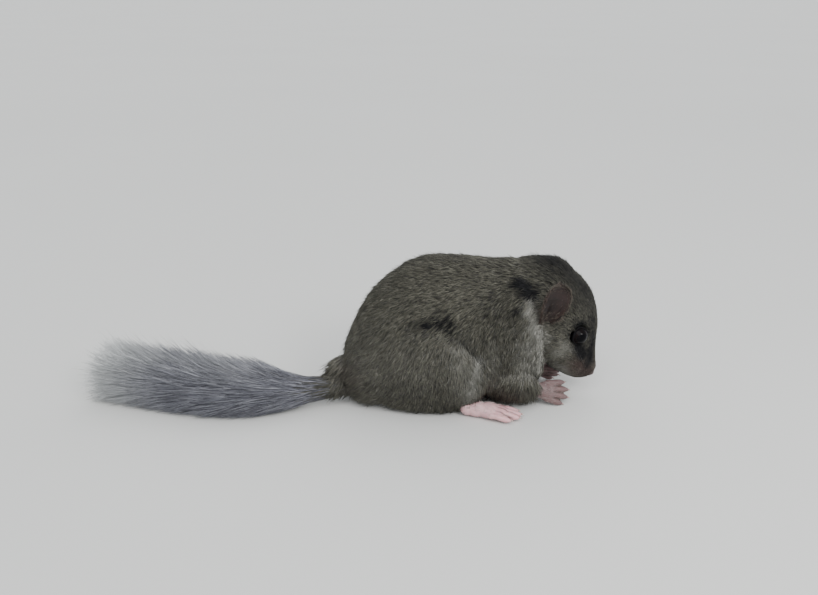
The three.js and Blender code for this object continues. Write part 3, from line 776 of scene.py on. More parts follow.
@dataclass(frozen=True)
class FleshFinish:
    """Bare skin, mottled and creased, with a flushed colour and a colour of painted shade where the skin
    attribute says.
    """

    name: str
    colour: Colour
    mottle: Colour
    flush: Colour
    # The colour of painted shade: in hollows, nostrils, lid corners, between toes and over shadowed
    # forepaws
    deep: Colour
    crease_scale: float = 900.0
    depth: float = 0.5
    bump: float = 0.25
    roughness: float = 0.5
    gloss: float = 0.4
    subsurface: float = 0.12
    glow: Triple = (0.0012, 0.0005, 0.0003)

    def build(self, group: NodeTree) -> Material:
        """Makes the material.

        Args:
            group: The pores group.

        Returns:
            The material.
        """
        made, graph, shader = new_material(self.name)
        flush, deep, _ = graph.vector("skin")
        mottled = graph.ramp(graph.noise(380.0, 3.0), 0.35, 0.7)
        colour = graph.blend(mottled, linear(*self.colour), linear(*self.mottle))
        colour = graph.blend(flush, colour, linear(*self.flush))
        # Painted shade: darker where the skin attribute says the skin lies in shade
        colour = graph.blend(deep, colour, linear(*self.deep))
        creases = {"Crease Scale": self.crease_scale, "Depth": self.depth}
        height = graph.node("ShaderNodeGroup", creases, node_tree=group).outputs["Height"]
        bump = {"Height": height, "Strength": self.bump, "Distance": 0.0002}
        values = {
            "Base Color": colour,
            "Normal": graph.node("ShaderNodeBump", bump).outputs[0],
            "Roughness": self.roughness,
            "Specular IOR Level": self.gloss,
            "Subsurface Weight": self.subsurface,
            "Subsurface Radius": self.glow,
        }
        graph.fill(shader, values)
        return made


@dataclass(frozen=True)
class EyeFinish:
    """A wet black eye with a very dark brown iris."""

    name: str = "wet_eye"
    pupil: Colour = (4, 4, 6)
    iris: Colour = (20, 13, 12)
    roughness: float = 0.1
    gloss: float = 0.06

    def build(self) -> Material:
        """Makes the material.

        Returns:
            The material.
        """
        made, graph, shader = new_material(self.name)
        streaks = graph.ramp(graph.noise(1500.0, 4.0), 0.3, 0.7)
        iris = graph.maths("MULTIPLY", graph.value("iris"), streaks)
        colour = graph.blend(iris, linear(*self.pupil), linear(*self.iris))
        values = {"Base Color": colour, "Roughness": self.roughness, "Specular IOR Level": self.gloss}
        graph.fill(shader, values)
        return made


@dataclass(frozen=True)
class HornFinish:
    """The horn of claws and whiskers, which changes colour from root to tip."""

    name: str
    root: Colour
    tip: Colour
    roughness: float = 0.35

    def build(self) -> Material:
        """Makes the material.

        Returns:
            The material.
        """
        made, graph, shader = new_material(self.name)
        along = graph.vector("strand")[0]
        colour = graph.blend(graph.ramp(along, 0.1, 0.9), linear(*self.root), linear(*self.tip))
        grain = graph.span(graph.noise(2500.0), (0.3, 0.7, 0.85, 1.1))
        graph.fill(shader, {"Base Color": graph.scaled(colour, grain), "Roughness": self.roughness})
        return made


@dataclass(frozen=True)
class FloorFinish:
    """A plain pale studio floor."""

    name: str = "studio_floor"
    colour: Colour = (190, 190, 187)
    roughness: float = 0.9

    def build(self) -> Material:
        """Makes the material.

        Returns:
            The material.
        """
        made, graph, shader = new_material(self.name)
        shade = graph.span(graph.noise(3.0), (0.2, 0.8, 0.98, 1.02))
        colour = graph.scaled(linear(*self.colour)[:3], shade)
        graph.fill(shader, {"Base Color": colour, "Roughness": self.roughness})
        return made


# Markings and the lie of the coat


@dataclass(frozen=True)
class Marking:
    """A marking of the coat, or painted shade or light on it, along a line on the right side, and on the
    left one too.
    """

    tone: Tone
    line: tuple[Triple, ...]
    reach: float
    strength: float = 1.0
    ragged: float = 0.35


EYE_LINE = ((45.9, -7.4, 22.9), (45.4, -8.9, 20), (46.2, -7.2, 17), (47.6, -5, 13.6))
MARKINGS = (
    Marking(Tone.DARK, EYE_LINE, 2.8, 1.25, 0.15),
    Marking(Tone.DARK, ((48.6, -4, 24), (50, -2.6, 16), (49.6, -3.2, 11)), 3.2, 1, 0.12),
    Marking(Tone.DARK, ((38, -2, 40), (45, -3, 32), (48, 0, 24)), 8, 0.9, 0.07),
    Marking(Tone.DARK, ((-6, 0, 38), (12, 0, 41), (30, 0, 41)), 9, 0.2, 0.1),
    Marking(Tone.DARK, ((41, -8.6, 22.5),), 6, 0.12, 0.1),
    Marking(Tone.DARK, ((28.8, -8.8, 35.2), (31.2, -9.8, 33.6)), 2.6, 1.7, 0.3),
    Marking(Tone.DARK, ((27.2, -11.9, 29.6), (27.9, -12.2, 28)), 1.3, 0.9),
    # Painted shadow along the ear's rear edge, this line and the next
    Marking(Tone.DARK, ((33, -9.6, 34), (32, -10.6, 31)), 1.3, 0.7),
    Marking(Tone.DARK, ((36.8, -9.8, 33.6), (35, -10.6, 30), (34.6, -10.9, 26.6)), 1.3, 0.9, 0.2),
    Marking(Tone.DARK, ((21, -12.5, 31), (24.5, -12.5, 22)), 4.5, 0.25),
    Marking(Tone.DARK, ((1.2, -14.1, 25.2), (5, -14.3, 26.4), (8.6, -14.1, 27.2)), 2, 0.38, 0.9),
    Marking(Tone.DARK, ((8.7, -13.7, 29.2), (10.1, -14.6, 25.4), (13.4, -14.9, 21.5)), 1.6, 0.4, 0.9),
    Marking(Tone.DARK, ((3.4, -14.2, 25.6), (7.6, -14.2, 26.8)), 1.1, 1.2, 1.1),
    Marking(Tone.DARK, ((9.6, -14, 27.4), (10.6, -14.6, 24.4)), 0.9, 1.2, 1.1),
    # Painted shade in the crease along the thigh's front edge
    Marking(Tone.DARK, ((13.4, -14.9, 21.5), (19, -14.5, 15), (18.6, -14, 6)), 1.1, 0.6),
    Marking(Tone.DARK, ((38.7, -9.6, 20.2),), 0.6, 0.8),
    Marking(Tone.DARK, ((42.3, -8.7, 21.1),), 0.6, 0.8),
    Marking(Tone.DARK, ((40.3, -9.6, 24.6),), 0.7, 0.6),
    Marking(Tone.PALE, ((31.8, -10.2, 32.4), (31, -11.8, 29), (32.6, -11.6, 25)), 1.8, 0.64),
    Marking(Tone.PALE, ((32.6, -11.6, 25), (35, -10.8, 19), (34.6, -9.6, 12)), 2.4, 0.72),
    Marking(Tone.PALE, ((31.4, -11.6, 19), (30.8, -11, 11)), 3.8, 0.5, 0.6),
    Marking(Tone.PALE, ((13, -16.4, 17), (14.6, -16.4, 9)), 5, 0.3),
    # Painted light that lifts the shade between thigh and foreleg
    Marking(Tone.PALE, ((21.6, -13.4, 18), (22, -13.4, 9)), 3, 0.2),
    Marking(Tone.PALE, ((17.9, -15.6, 15.2), (16.6, -17.2, 10.7), (15.6, -15.5, 6)), 2.4, 0.75),
    Marking(Tone.PALE, ((45.8, -5.4, 8.2), (45.5, -5, 6.2)), 0.6, 0.8, 0.2),
    Marking(Tone.PALE, ((47.2, -5, 9.2), (46.9, -4.8, 7.4)), 0.5, 0.8, 0.2),
    Marking(Tone.PALE, ((-14, -12, 14), (2, -17, 14)), 10, 0.13),
    Marking(Tone.PALE, ((41.6, -8, 16.6), (38.8, -8.4, 14)), 3, 0.3),
    Marking(Tone.PALE, ((44, -7.2, 15.8),), 1.3, 0.5),
    Marking(Tone.PALE, ((40.5, 0, 7.5), (35.5, 0, 9)), 5, 0.8),
    Marking(Tone.PALE, ((-12, 0, 1), (10, 0, 0), (30, 0, 2)), 8, 0.8),
    Marking(Tone.PALE, ((10, -8, 0), (28, -8, 2)), 3, 0.6),
    Marking(Tone.WARM, ((46.6, -5.2, 10.6), (49.8, -2.4, 7.4)), 3.6, 0.9, 0.2),
    Marking(Tone.DARK, ((47, -5, 11), (50, -2.4, 7.4)), 3.4, 0.4),
    Marking(Tone.WARM, ((35.5, -9.8, 27.5),), 2.4, 0.5),
    Marking(Tone.WARM, ((-15.4, -10.4, 10),), 5, 0.3),
)


def marks_at(points: Array) -> Array:
    """How strongly the coat is pale, dark and warm at places.

    Args:
        points: Places, one a row.

    Returns:
        One row a place, with the shares in the order of Tone.
    """
    on_right = points.copy()
    on_right[:, 1] = -np.abs(on_right[:, 1])
    wave = ripple(points, 3.1) + 0.6 * ripple(points, 1.3, 2.0)
    marks = np.zeros((len(points), 3))
    for marking in MARKINGS:
        away = distance_to_line(on_right, np.array(marking.line, float))
        away = away + marking.ragged * marking.reach * wave
        share = marking.strength * np.exp(-np.maximum(away, 0) ** 2 / (2 * (0.62 * marking.reach) ** 2))
        column = marks[:, marking.tone.value]
        np.maximum(column, share, out=column)
    return marks


@dataclass(frozen=True)
class Lie:
    """The way that the hair runs about one place of the right side."""

    place: Triple
    way: Triple
    reach: float = 6.0


LIES = (
    Lie((49.5, -2, 11), (-0.25, -0.15, 0.95), 4),
    Lie((49, 0, 20), (-0.25, 0, 0.97), 5),
    Lie((46, -5, 28), (-0.5, -0.1, 0.85), 5),
    Lie((41, 0, 37), (-0.85, 0, 0.5)),
    Lie((45, -7, 14), (-0.75, -0.3, 0.4), 4),
    Lie((40, -9, 21), (-0.85, 0, 0.15), 4),
    Lie((40, -8, 14), (-0.9, 0, -0.35), 4),
    Lie((38, -9, 30), (-0.8, 0, 0.3), 4),
    Lie((37, -3, 9), (-0.7, 0, -0.6), 4),
    Lie((30, -5, 39), (-1, 0, -0.05)),
    Lie((31, -11, 29), (-0.45, 0, -0.9), 5),
    Lie((34, -10, 18), (-0.15, 0, -1), 4),
    Lie((24, -13, 28), (-0.5, 0, -0.85), 5),
    Lie((24, -13, 18), (-0.15, 0, -1), 5),
    Lie((30, -8, 7), (-0.35, 0, -0.9), 4),
    Lie((24, -13, 9), (0.05, -0.1, -1), 4),
    Lie((29, -12, 6), (0.35, -0.1, -0.93), 3),
    Lie((34, -9, 5), (0.85, 0, -0.5), 2.5),
    Lie((14, -6, 38), (-1, 0, -0.15), 7),
    Lie((12, -13, 31), (-0.8, 0, -0.6), 5),
    Lie((-4, -6, 34), (-0.85, 0, -0.5), 7),
    Lie((-6, -13, 24), (-0.65, 0, -0.75), 6),
    Lie((-14, -5, 22), (-0.6, 0, -0.8), 6),
    Lie((-17, -5, 15), (-0.62, 0, -0.78), 5),
    Lie((-21, -7, 9), (-0.85, -0.1, -0.5), 3.5),
    Lie((-14, -11, 8), (-0.85, 0, -0.5), 5),
    Lie((2, -17, 16), (-0.35, -0.1, -0.93), 5),
    Lie((15, -16, 16), (-0.2, 0, -0.97), 4),
    Lie((10, -17, 7), (0.1, -0.25, -0.95), 5),
    Lie((6, -4, 0), (-1, 0, 0), 6),
    Lie((28, -2, 1), (-1, 0, 0), 5),
)


def lie_at(points: Array, normals: Array) -> Array:
    """Which way the hair runs at places of the surface.

    Args:
        points: Places, one a row.
        normals: The surface's normals there.

    Returns:
        Unit directions along the surface.
    """
    total = np.zeros_like(points)
    for lie in LIES:
        for side in Side:
            place = np.array(lie.place) * (1, -side.value, 1)
            way = unit(np.array(lie.way) * (1, -side.value, 1))
            weight = nearness(points, place, 2 * lie.reach**2)
            total += (weight + 1e-9)[:, None] * way
    wander = np.stack([ripple(points, 6.5, seed) for seed in (3.0, 5.0, 8.0)], axis=1)
    return tangent(unit(total) + 0.16 * wander, normals)


# How far the nape lies behind the nose tip, and the plane that parts the jaw from the throat
NAPE = 29.5
JAW_PLACE = (33.2, 0.0, 27.9)
JAW_FACING = np.array((0.976, 0.0, 0.219))


def on_head(points: Array) -> Array:
    """How far places belong to the head, from 0 on the neck to 1 on the face.

    Args:
        points: Places, one a row.

    Returns:
        A share for each place.
    """
    before_nape = (NAPE + to_head(points)[:, 0]) / 4.0
    before_jaw = ((points - JAW_PLACE) @ JAW_FACING + 1.0) / 3.0
    return np.clip(np.minimum(before_nape, before_jaw), 0, 1)


# From the nose tip back: how deep the coat is, how long its tufts are and how wide
FACE_DEPTH = Profile(((0, 0.05), (3, 0.2), (7, 0.4), (14, 0.6), (20, 0.85), (27, 1.25), (34, 1.6)))
FACE_LENGTH = Profile(((0, 0.5), (3, 0.8), (7, 1.3), (14, 1.9), (20, 2.4), (27, 3.2), (34, 4.0)))
FACE_WIDTH = Profile(((0, 0.11), (7, 0.14), (14, 0.17), (20, 0.2), (27, 0.23), (34, 0.25)))
BODY_DEPTH = 1.7
BODY_LENGTH = 3.9
BODY_WIDTH = 0.26
FRINGE_LENGTH = 3.4

# Longer tufts at throat, bib and heel: the place by the size of its X, Y and Z, its spread, and the
# length that is added
LONGER = (
    ((35.5, 6.0, 13.0), 18, 1.6),
    ((30.0, 11.5, 11.5), 14, 2.6),
    ((12.8, 15.0, 4.6), 9, 2.2),
)


def coat_sizes(points: Array) -> tuple[Array, Array, Array]:
    """How deep the coat is at places, and how long and wide its tufts are.

    Args:
        points: Places on the skin or the coat's surface, one a row.

    Returns:
        Depths, lengths and widths in millimetres.
    """
    head = on_head(points)
    body = 1 - head
    back = -to_head(points)[:, 0]
    depth = head * FACE_DEPTH(back) + body * BODY_DEPTH
    length = head * FACE_LENGTH(back) + body * BODY_LENGTH
    width = head * FACE_WIDTH(back) + body * BODY_WIDTH
    eyes = [from_head(side.mirror(EYE_PLACE)) for side in Side]
    from_eye = np.minimum(*(np.linalg.norm(points - eye, axis=1) for eye in eyes))
    off_eye = rising(from_eye, EYE_OPENING, 2.2)
    depth = depth * (0.25 + 0.75 * off_eye)
    length = length * (0.5 + 0.5 * off_eye)
    x, _, z = points.T
    rear = rising(-x, 11.5, 6.0) * rising(-z, -25, 10) * rising(z, 4.5, 3.0) * rising(x, -23.5, 5.5)
    length = length + FRINGE_LENGTH * rear * body
    for place, spread, extra in LONGER:
        length = length + extra * nearness(np.abs(points), place, spread)
    off_floor = rising(z, 0.0, 5.0)
    near_tail = rising(-x, 17.5, 4.5)
    depth = depth * (0.55 + 0.45 * np.maximum(off_floor, head)) * (1 - 0.8 * near_tail)
    return depth, length * (0.6 + 0.4 * off_floor) * (1 - 0.35 * near_tail), width


# Strands: tufts, the tail's hair, whiskers and claws


@dataclass
class Strands:
    """Closed, tapered strands with three sides, joined into one mesh.

    Attributes:
        paths: Places along each strand from root to tip, as strand, place, axis.
        across: The direction that each strand is wide in.
        outward: The direction of each strand's ridge.
        width: Each strand's full width at its widest.
        taper: The share of the width at each place but the tip.
        thickness: The share of the width that the ridge stands up.
    """

    paths: Array
    across: Array
    outward: Array
    width: Array
    taper: tuple[float, ...]
    thickness: float = 0.55

    def template(self) -> tuple[Array, Array, Array]:
        """The faces of one strand, and where each corner lies on its patch.

        Returns:
            Vertex numbers three a row, patch places for the same corners, and the share of the
            way along for each vertex.
        """
        rings = len(self.taper)
        tip = 3 * rings
        faces: list[tuple[int, int, int]] = [(0, 1, 2)]
        patch = [((0.0, 0.0), (0.3, 0.0), (0.15, 0.04))]
        for column in range(3):
            beside = (column + 1) % 3
            left, right = column / 3, (column + 1) / 3
            for ring in range(rings - 1):
                a, b = 3 * ring + column, 3 * ring + beside
                c, d = b + 3, a + 3
                low, high = ring / rings, (ring + 1) / rings
                faces += [(a, d, c), (a, c, b)]
                patch += [((left, low), (left, high), (right, high))]
                patch += [((left, low), (right, high), (right, low))]
            a, b = tip - 3 + column, tip - 3 + beside
            low = (rings - 1) / rings
            faces.append((a, tip, b))
            patch.append(((left, low), ((left + right) / 2, 1.0), (right, low)))
        along = np.append(np.repeat(np.arange(rings) / rings, 3), 1.0)
        return np.array(faces), np.array(patch), along

    def vertices(self) -> Array:
        """Places the corners of all rings, and the tips.

        Returns:
            The places, as strand, vertex, axis.
        """
        count, rings = len(self.paths), len(self.taper)
        made = np.empty((count, 3 * rings + 1, 3))
        half = self.width[:, None] / 2
        for ring, share in enumerate(self.taper):
            middle = self.paths[:, ring] - self.outward * half * self.thickness * share * 0.6
            made[:, 3 * ring] = middle - self.across * half * share
            made[:, 3 * ring + 1] = middle + self.across * half * share
            made[:, 3 * ring + 2] = middle + self.outward * half * share * self.thickness * 2.2
        made[:, -1] = self.paths[:, -1]
        return made

    def build(self, name: str, tones: Array, marks: Array, unwrap: Array) -> Object:
        """Makes the mesh with its attributes and its unwrap.

        Args:
            name: The object's name.
            tones: Two random numbers for each strand: which tip it has, and its shade.
            marks: The coat's marks at each root.
            unwrap: Each root's place on the skin's unwrap.

        Returns:
            The new object.
        """
        faces, patch, along = self.template()
        count, each = len(self.paths), len(along)
        triangles = (np.arange(count)[:, None, None] * each + faces).reshape(-1, 3)
        vertices = self.vertices().reshape(-1, 3)
        vertices[:, 2] = np.maximum(vertices[:, 2], HAIR_FLOOR)
        made = mesh_object(name, vertices, triangles)
        strand = np.empty((count, each, 3))
        strand[..., 0] = along
        strand[..., 1:] = tones[:, None]
        put_vectors(made.data, "strand", strand.reshape(-1, 3))
        put_vectors(made.data, "marks", np.repeat(marks, each, axis=0))
        patch_size = 0.003
        corners = unwrap[:, None, None] * (1 - patch_size) + patch * patch_size
        layer = made.data.uv_layers.new(name="OFBake")
        layer.data.foreach_set("uv", corners.astype(np.float32).ravel())
        return made


def chances(random: Generator, count: int) -> Array:
    """Two random numbers for each strand, which give its tip and its shade."""
    return np.stack((random.random(count), random.random(count)), axis=1)


@dataclass
class Roots:
    """Places drawn at random on a surface, with its normals and unwrap there."""

    places: Array
    normals: Array
    unwrap: Array

    def only(self, kept: Array) -> Roots:
        """The roots that a mask or a list of numbers keeps."""
        return Roots(self.places[kept], self.normals[kept], self.unwrap[kept])


@dataclass
class Surface:
    """A triangle mesh as arrays: corners, their normals and their unwrap."""

    corners: Array
    normals: Array
    unwrap: Array

    @classmethod
    def of(cls, thing: Object) -> Surface:
        """Reads a mesh.

        Args:
            thing: A triangulated object that has an unwrap.

        Returns:
            Its surface.
        """
        numbers = corner_numbers(thing.data)
        flat = np.empty(len(numbers) * 2, np.float32)
        thing.data.uv_layers.active.data.foreach_get("uv", flat)
        corners = places(thing)[numbers].reshape(-1, 3, 3)
        normals = vertex_vectors(thing, "normal")[numbers].reshape(-1, 3, 3)
        return cls(corners, normals, flat.reshape(-1, 3, 2).astype(float))

    def scatter(self, density: Callable[[Array], Array], random: Generator) -> Roots:
        """Draws places at random.

        Args:
            density: Gives how many a square millimetre at the middles of the triangles.
            random: The source of chance.

        Returns:
            The places drawn.
        """
        edges = self.corners[:, 1:] - self.corners[:, :1]
        areas = np.linalg.norm(np.cross(edges[:, 0], edges[:, 1]), axis=1) / 2
        wanted = np.cumsum(areas * density(self.corners.mean(axis=1)))
        count = int(wanted[-1])
        spots = (np.arange(count) + random.random(count)) * wanted[-1] / max(count, 1)
        chosen = np.minimum(np.searchsorted(wanted, spots), len(wanted) - 1)
        root = np.sqrt(random.random(count))
        other = random.random(count)
        weights = np.stack((1 - root, root * (1 - other), root * other), axis=1)[:, :, None]
        return Roots(
            np.sum(self.corners[chosen] * weights, axis=1),
            unit(np.sum(self.normals[chosen] * weights, axis=1)),
            np.sum(self.unwrap[chosen] * weights, axis=1),
        )


# The tail's axis, and how far its plume reaches from it by the share of the way along
TAIL_POINTS = np.array(
    (
        (-13.0, -3.6, 6.2), (-20.0, -7.4, 5.6), (-30, -9.6, 5.1), (-41, -9.6, 4.9),
        (-52, -8.5, 4.9), (-63, -5.6, 4.9), (-73, -2.5, 4.9), (-79.5, -0.6, 5.0),
    )
)
TAIL_LENGTH = 67.5
TAIL_PLUME = 11.2
TAIL_END = 1.1
TAIL_CORE = Profile(((0, 2.6), (0.1, 2.0), (0.25, 2.1), (0.45, 2.6), (0.8, 2.4), (0.95, 1.4), (1, 0.5)))
TAIL_REACH = Profile(
    ((0, 0.4), (0.1, 0.3), (0.2, 0.36), (0.3, 0.6), (0.42, 0.92), (0.7, 1.0), (1, 1.0), (1.2, 0.85))
)


def smooth_line(points: Array, count: int) -> Array:
    """Points at even steps on a smooth line.

    Args:
        points: Corners that the line passes through.
        count: How many points to give.

    Returns:
        The points, one a row.
    """
    ends = np.concatenate((2 * points[:1] - points[1:2], points, 2 * points[-1:] - points[-2:-1]))
    t = np.linspace(0, 1, 24, endpoint=False)[:, None]
    pieces = []
    for a, b, c, d in zip(ends, ends[1:], ends[2:], ends[3:]):
        cubic = 2 * b + (c - a) * t + (2 * a - 5 * b + 4 * c - d) * t**2 + (3 * b - a - 3 * c + d) * t**3
        pieces.append(0.5 * cubic)
    dense = np.concatenate((*pieces, points[-1:]))
    run = np.concatenate(((0,), np.cumsum(np.linalg.norm(np.diff(dense, axis=0), axis=1))))
    even = np.linspace(0, run[-1], count)
    return np.stack([np.interp(even, run, dense[:, axis]) for axis in range(3)], axis=1)


def spokes(side: Array, angle: Array) -> Array:
    """Directions out of the tail's axis: along its side at an angle of 0, up at a right angle."""
    return side * np.cos(angle)[:, None] + UP * np.sin(angle)[:, None]


@dataclass
class TailAxis:
    """The tail's axis, to be read at any share of the way, also past its end."""

    line: Array = field(default_factory=lambda: smooth_line(TAIL_POINTS, 200))

    def at(self, share: Array) -> tuple[Array, Array, Array]:
        """The axis at shares of the way.

        Args:
            share: 0 at the root and 1 at the end.

        Returns:
            Places, headings, and level left-hand sides.
        """
        steps = np.linspace(0, 1, len(self.line))
        held = np.clip(share, 0, 1)
        place, heading = (
            np.stack([np.interp(held, steps, column) for column in rows.T], axis=-1)
            for rows in (self.line, unit(np.gradient(self.line, axis=0)))
        )
        heading = unit(heading)
        place = place + heading * (np.maximum(share - 1, 0) * TAIL_LENGTH)[..., None]
        return place, heading, unit(np.cross(UP, heading))


# Sub-assemblies


@dataclass
class Hide:
    """The one skin of head, body, legs and tail, sunk below the coat's surface by its depth."""

    voxel: float = 0.45
    swell: float = 0.24
    rounds: int = 36
    last_rounds: int = 6
    folds: tuple[tuple[Triple, Triple], ...] = (
        ((34.4, 5.0, 12.2), (3.4, 4.2, 4.8)),
        ((28.0, 10.8, 9.0), (6.0, 3.4, 5.6)),
        ((15.4, 13.4, 11.0), (5.6, 3.6, 8.2)),
    )
    skirt: tuple[tuple[Triple, Triple], ...] = (
        ((-14.2, -5.5, 9.5), (6.1, 5.2, 6.8)),
        ((-17.8, -6.6, 6.7), (4.8, 3.9, 4.2)),
        ((-21.6, -7.7, 5.8), (4.4, 2.7, 2.9)),
    )
    flesh: tuple[str, ...] = (
        "head", "neck", "chest", "belly", "rump",
        "thigh_left", "thigh_right", "foreleg_left", "foreleg_right",
    )
    tail: tuple[str, ...] = ("tail_root", "tail_near", "tail_far", "tail_tip")

    def build(self) -> Object:
        """Makes the skin.

        Returns:
            The skin, triangulated and unwrapped, with the coat's marks on it.
        """
        parts = [copy_of_node(node, "flesh_" + node) for node in self.flesh]
        parts += [egg(side.mirror(place), size) for place, size in self.folds for side in Side]
        parts += [egg(np.array(place), size) for place, size in self.skirt]
        for part in parts:
            in_edit_mode(part, bpy.ops.transform.shrink_fatten, value=self.swell * MM)
        share = np.linspace(0, 1, 40)
        parts.append(tube(TailAxis().at(share)[0], TAIL_CORE(share)))
        skin = merged(parts, "skin", self.voxel)
        self.smooth(skin, self.rounds)
        self.sink(skin)
        self.smooth(skin, self.last_rounds)
        apply_modifier(skin, "TRIANGULATE")
        shade_smooth(skin)
        unwrap_all(skin, 66, 0.002)
        skin.data.uv_layers.active.name = "OFBake"
        points = places(skin)
        put_vectors(skin.data, "marks", marks_at(points))
        put_vectors(skin.data, "strand", np.tile((0.22, 0.5, 0.5), (len(points), 1)))
        return skin

    def smooth(self, skin: Object, rounds: int) -> None:
        """Relaxes the body's creases and, far less, the face's.

        Args:
            skin: The skin.
            rounds: How many times to relax it.
        """
        points = places(skin)
        face = np.clip(1.5 + to_head(points)[:, 0] / 18, 0, 1)
        soft = 1 - 0.85 * face * on_head(points)
        group = skin.vertex_groups.new(name="soft")
        steps = 8
        levels = np.round(soft * steps).astype(int)
        for level in range(1, steps + 1):
            group.add(np.flatnonzero(levels == level).tolist(), level / steps, "REPLACE")
        apply_modifier(skin, "SMOOTH", factor=0.5, iterations=rounds, vertex_group="soft")
        skin.vertex_groups.clear()

    def sink(self, skin: Object) -> None:
        """Moves the skin inwards by the coat's depth, or on the tail by the swell alone.

        Args:
            skin: The skin.
        """
        points, normals = places(skin), vertex_vectors(skin, "normal")
        depth, _, _ = coat_sizes(points)
        on_tail = rising(-points[:, 0], 21.0, 3.0)
        inwards = self.swell + depth * (1 - on_tail)
        points = points - normals * inwards[:, None]
        points[:, 2] = np.maximum(points[:, 2], SKIN_FLOOR)
        move_to(skin, points)

    def dress(self, skin: Object, material: Material) -> None:
        """Gives the skin its finish and lets it stand for the nodes of flesh."""
        finished(skin, material, (*self.flesh, *self.tail))


# Where the coat ends on the tail, and where belly, chest and neck start
COAT_END = -22
BELLY_START = -2
CHEST_START = 10
NECK_START = 22


class Zone(Enum):
    """A part of the coat that is a piece of its own."""

    HEAD = "head"
    NECK = "neck"
    CHEST = "chest"
    BELLY = "belly"
    RUMP = "rump"


def zone_masks(points: Array) -> dict[Zone, Array]:
    """Which zone places belong to.

    Args:
        points: Places, one a row.

    Returns:
        A mask for each zone. The tail is in none.
    """
    x = points[:, 0]
    head = on_head(points) > 0.5
    body = ~head & (x >= COAT_END)
    return {
        Zone.HEAD: head,
        Zone.NECK: body & (x >= NECK_START),
        Zone.CHEST: body & (x >= CHEST_START) & (x < NECK_START),
        Zone.BELLY: body & (x >= BELLY_START) & (x < CHEST_START),
        Zone.RUMP: body & (x < BELLY_START),
    }


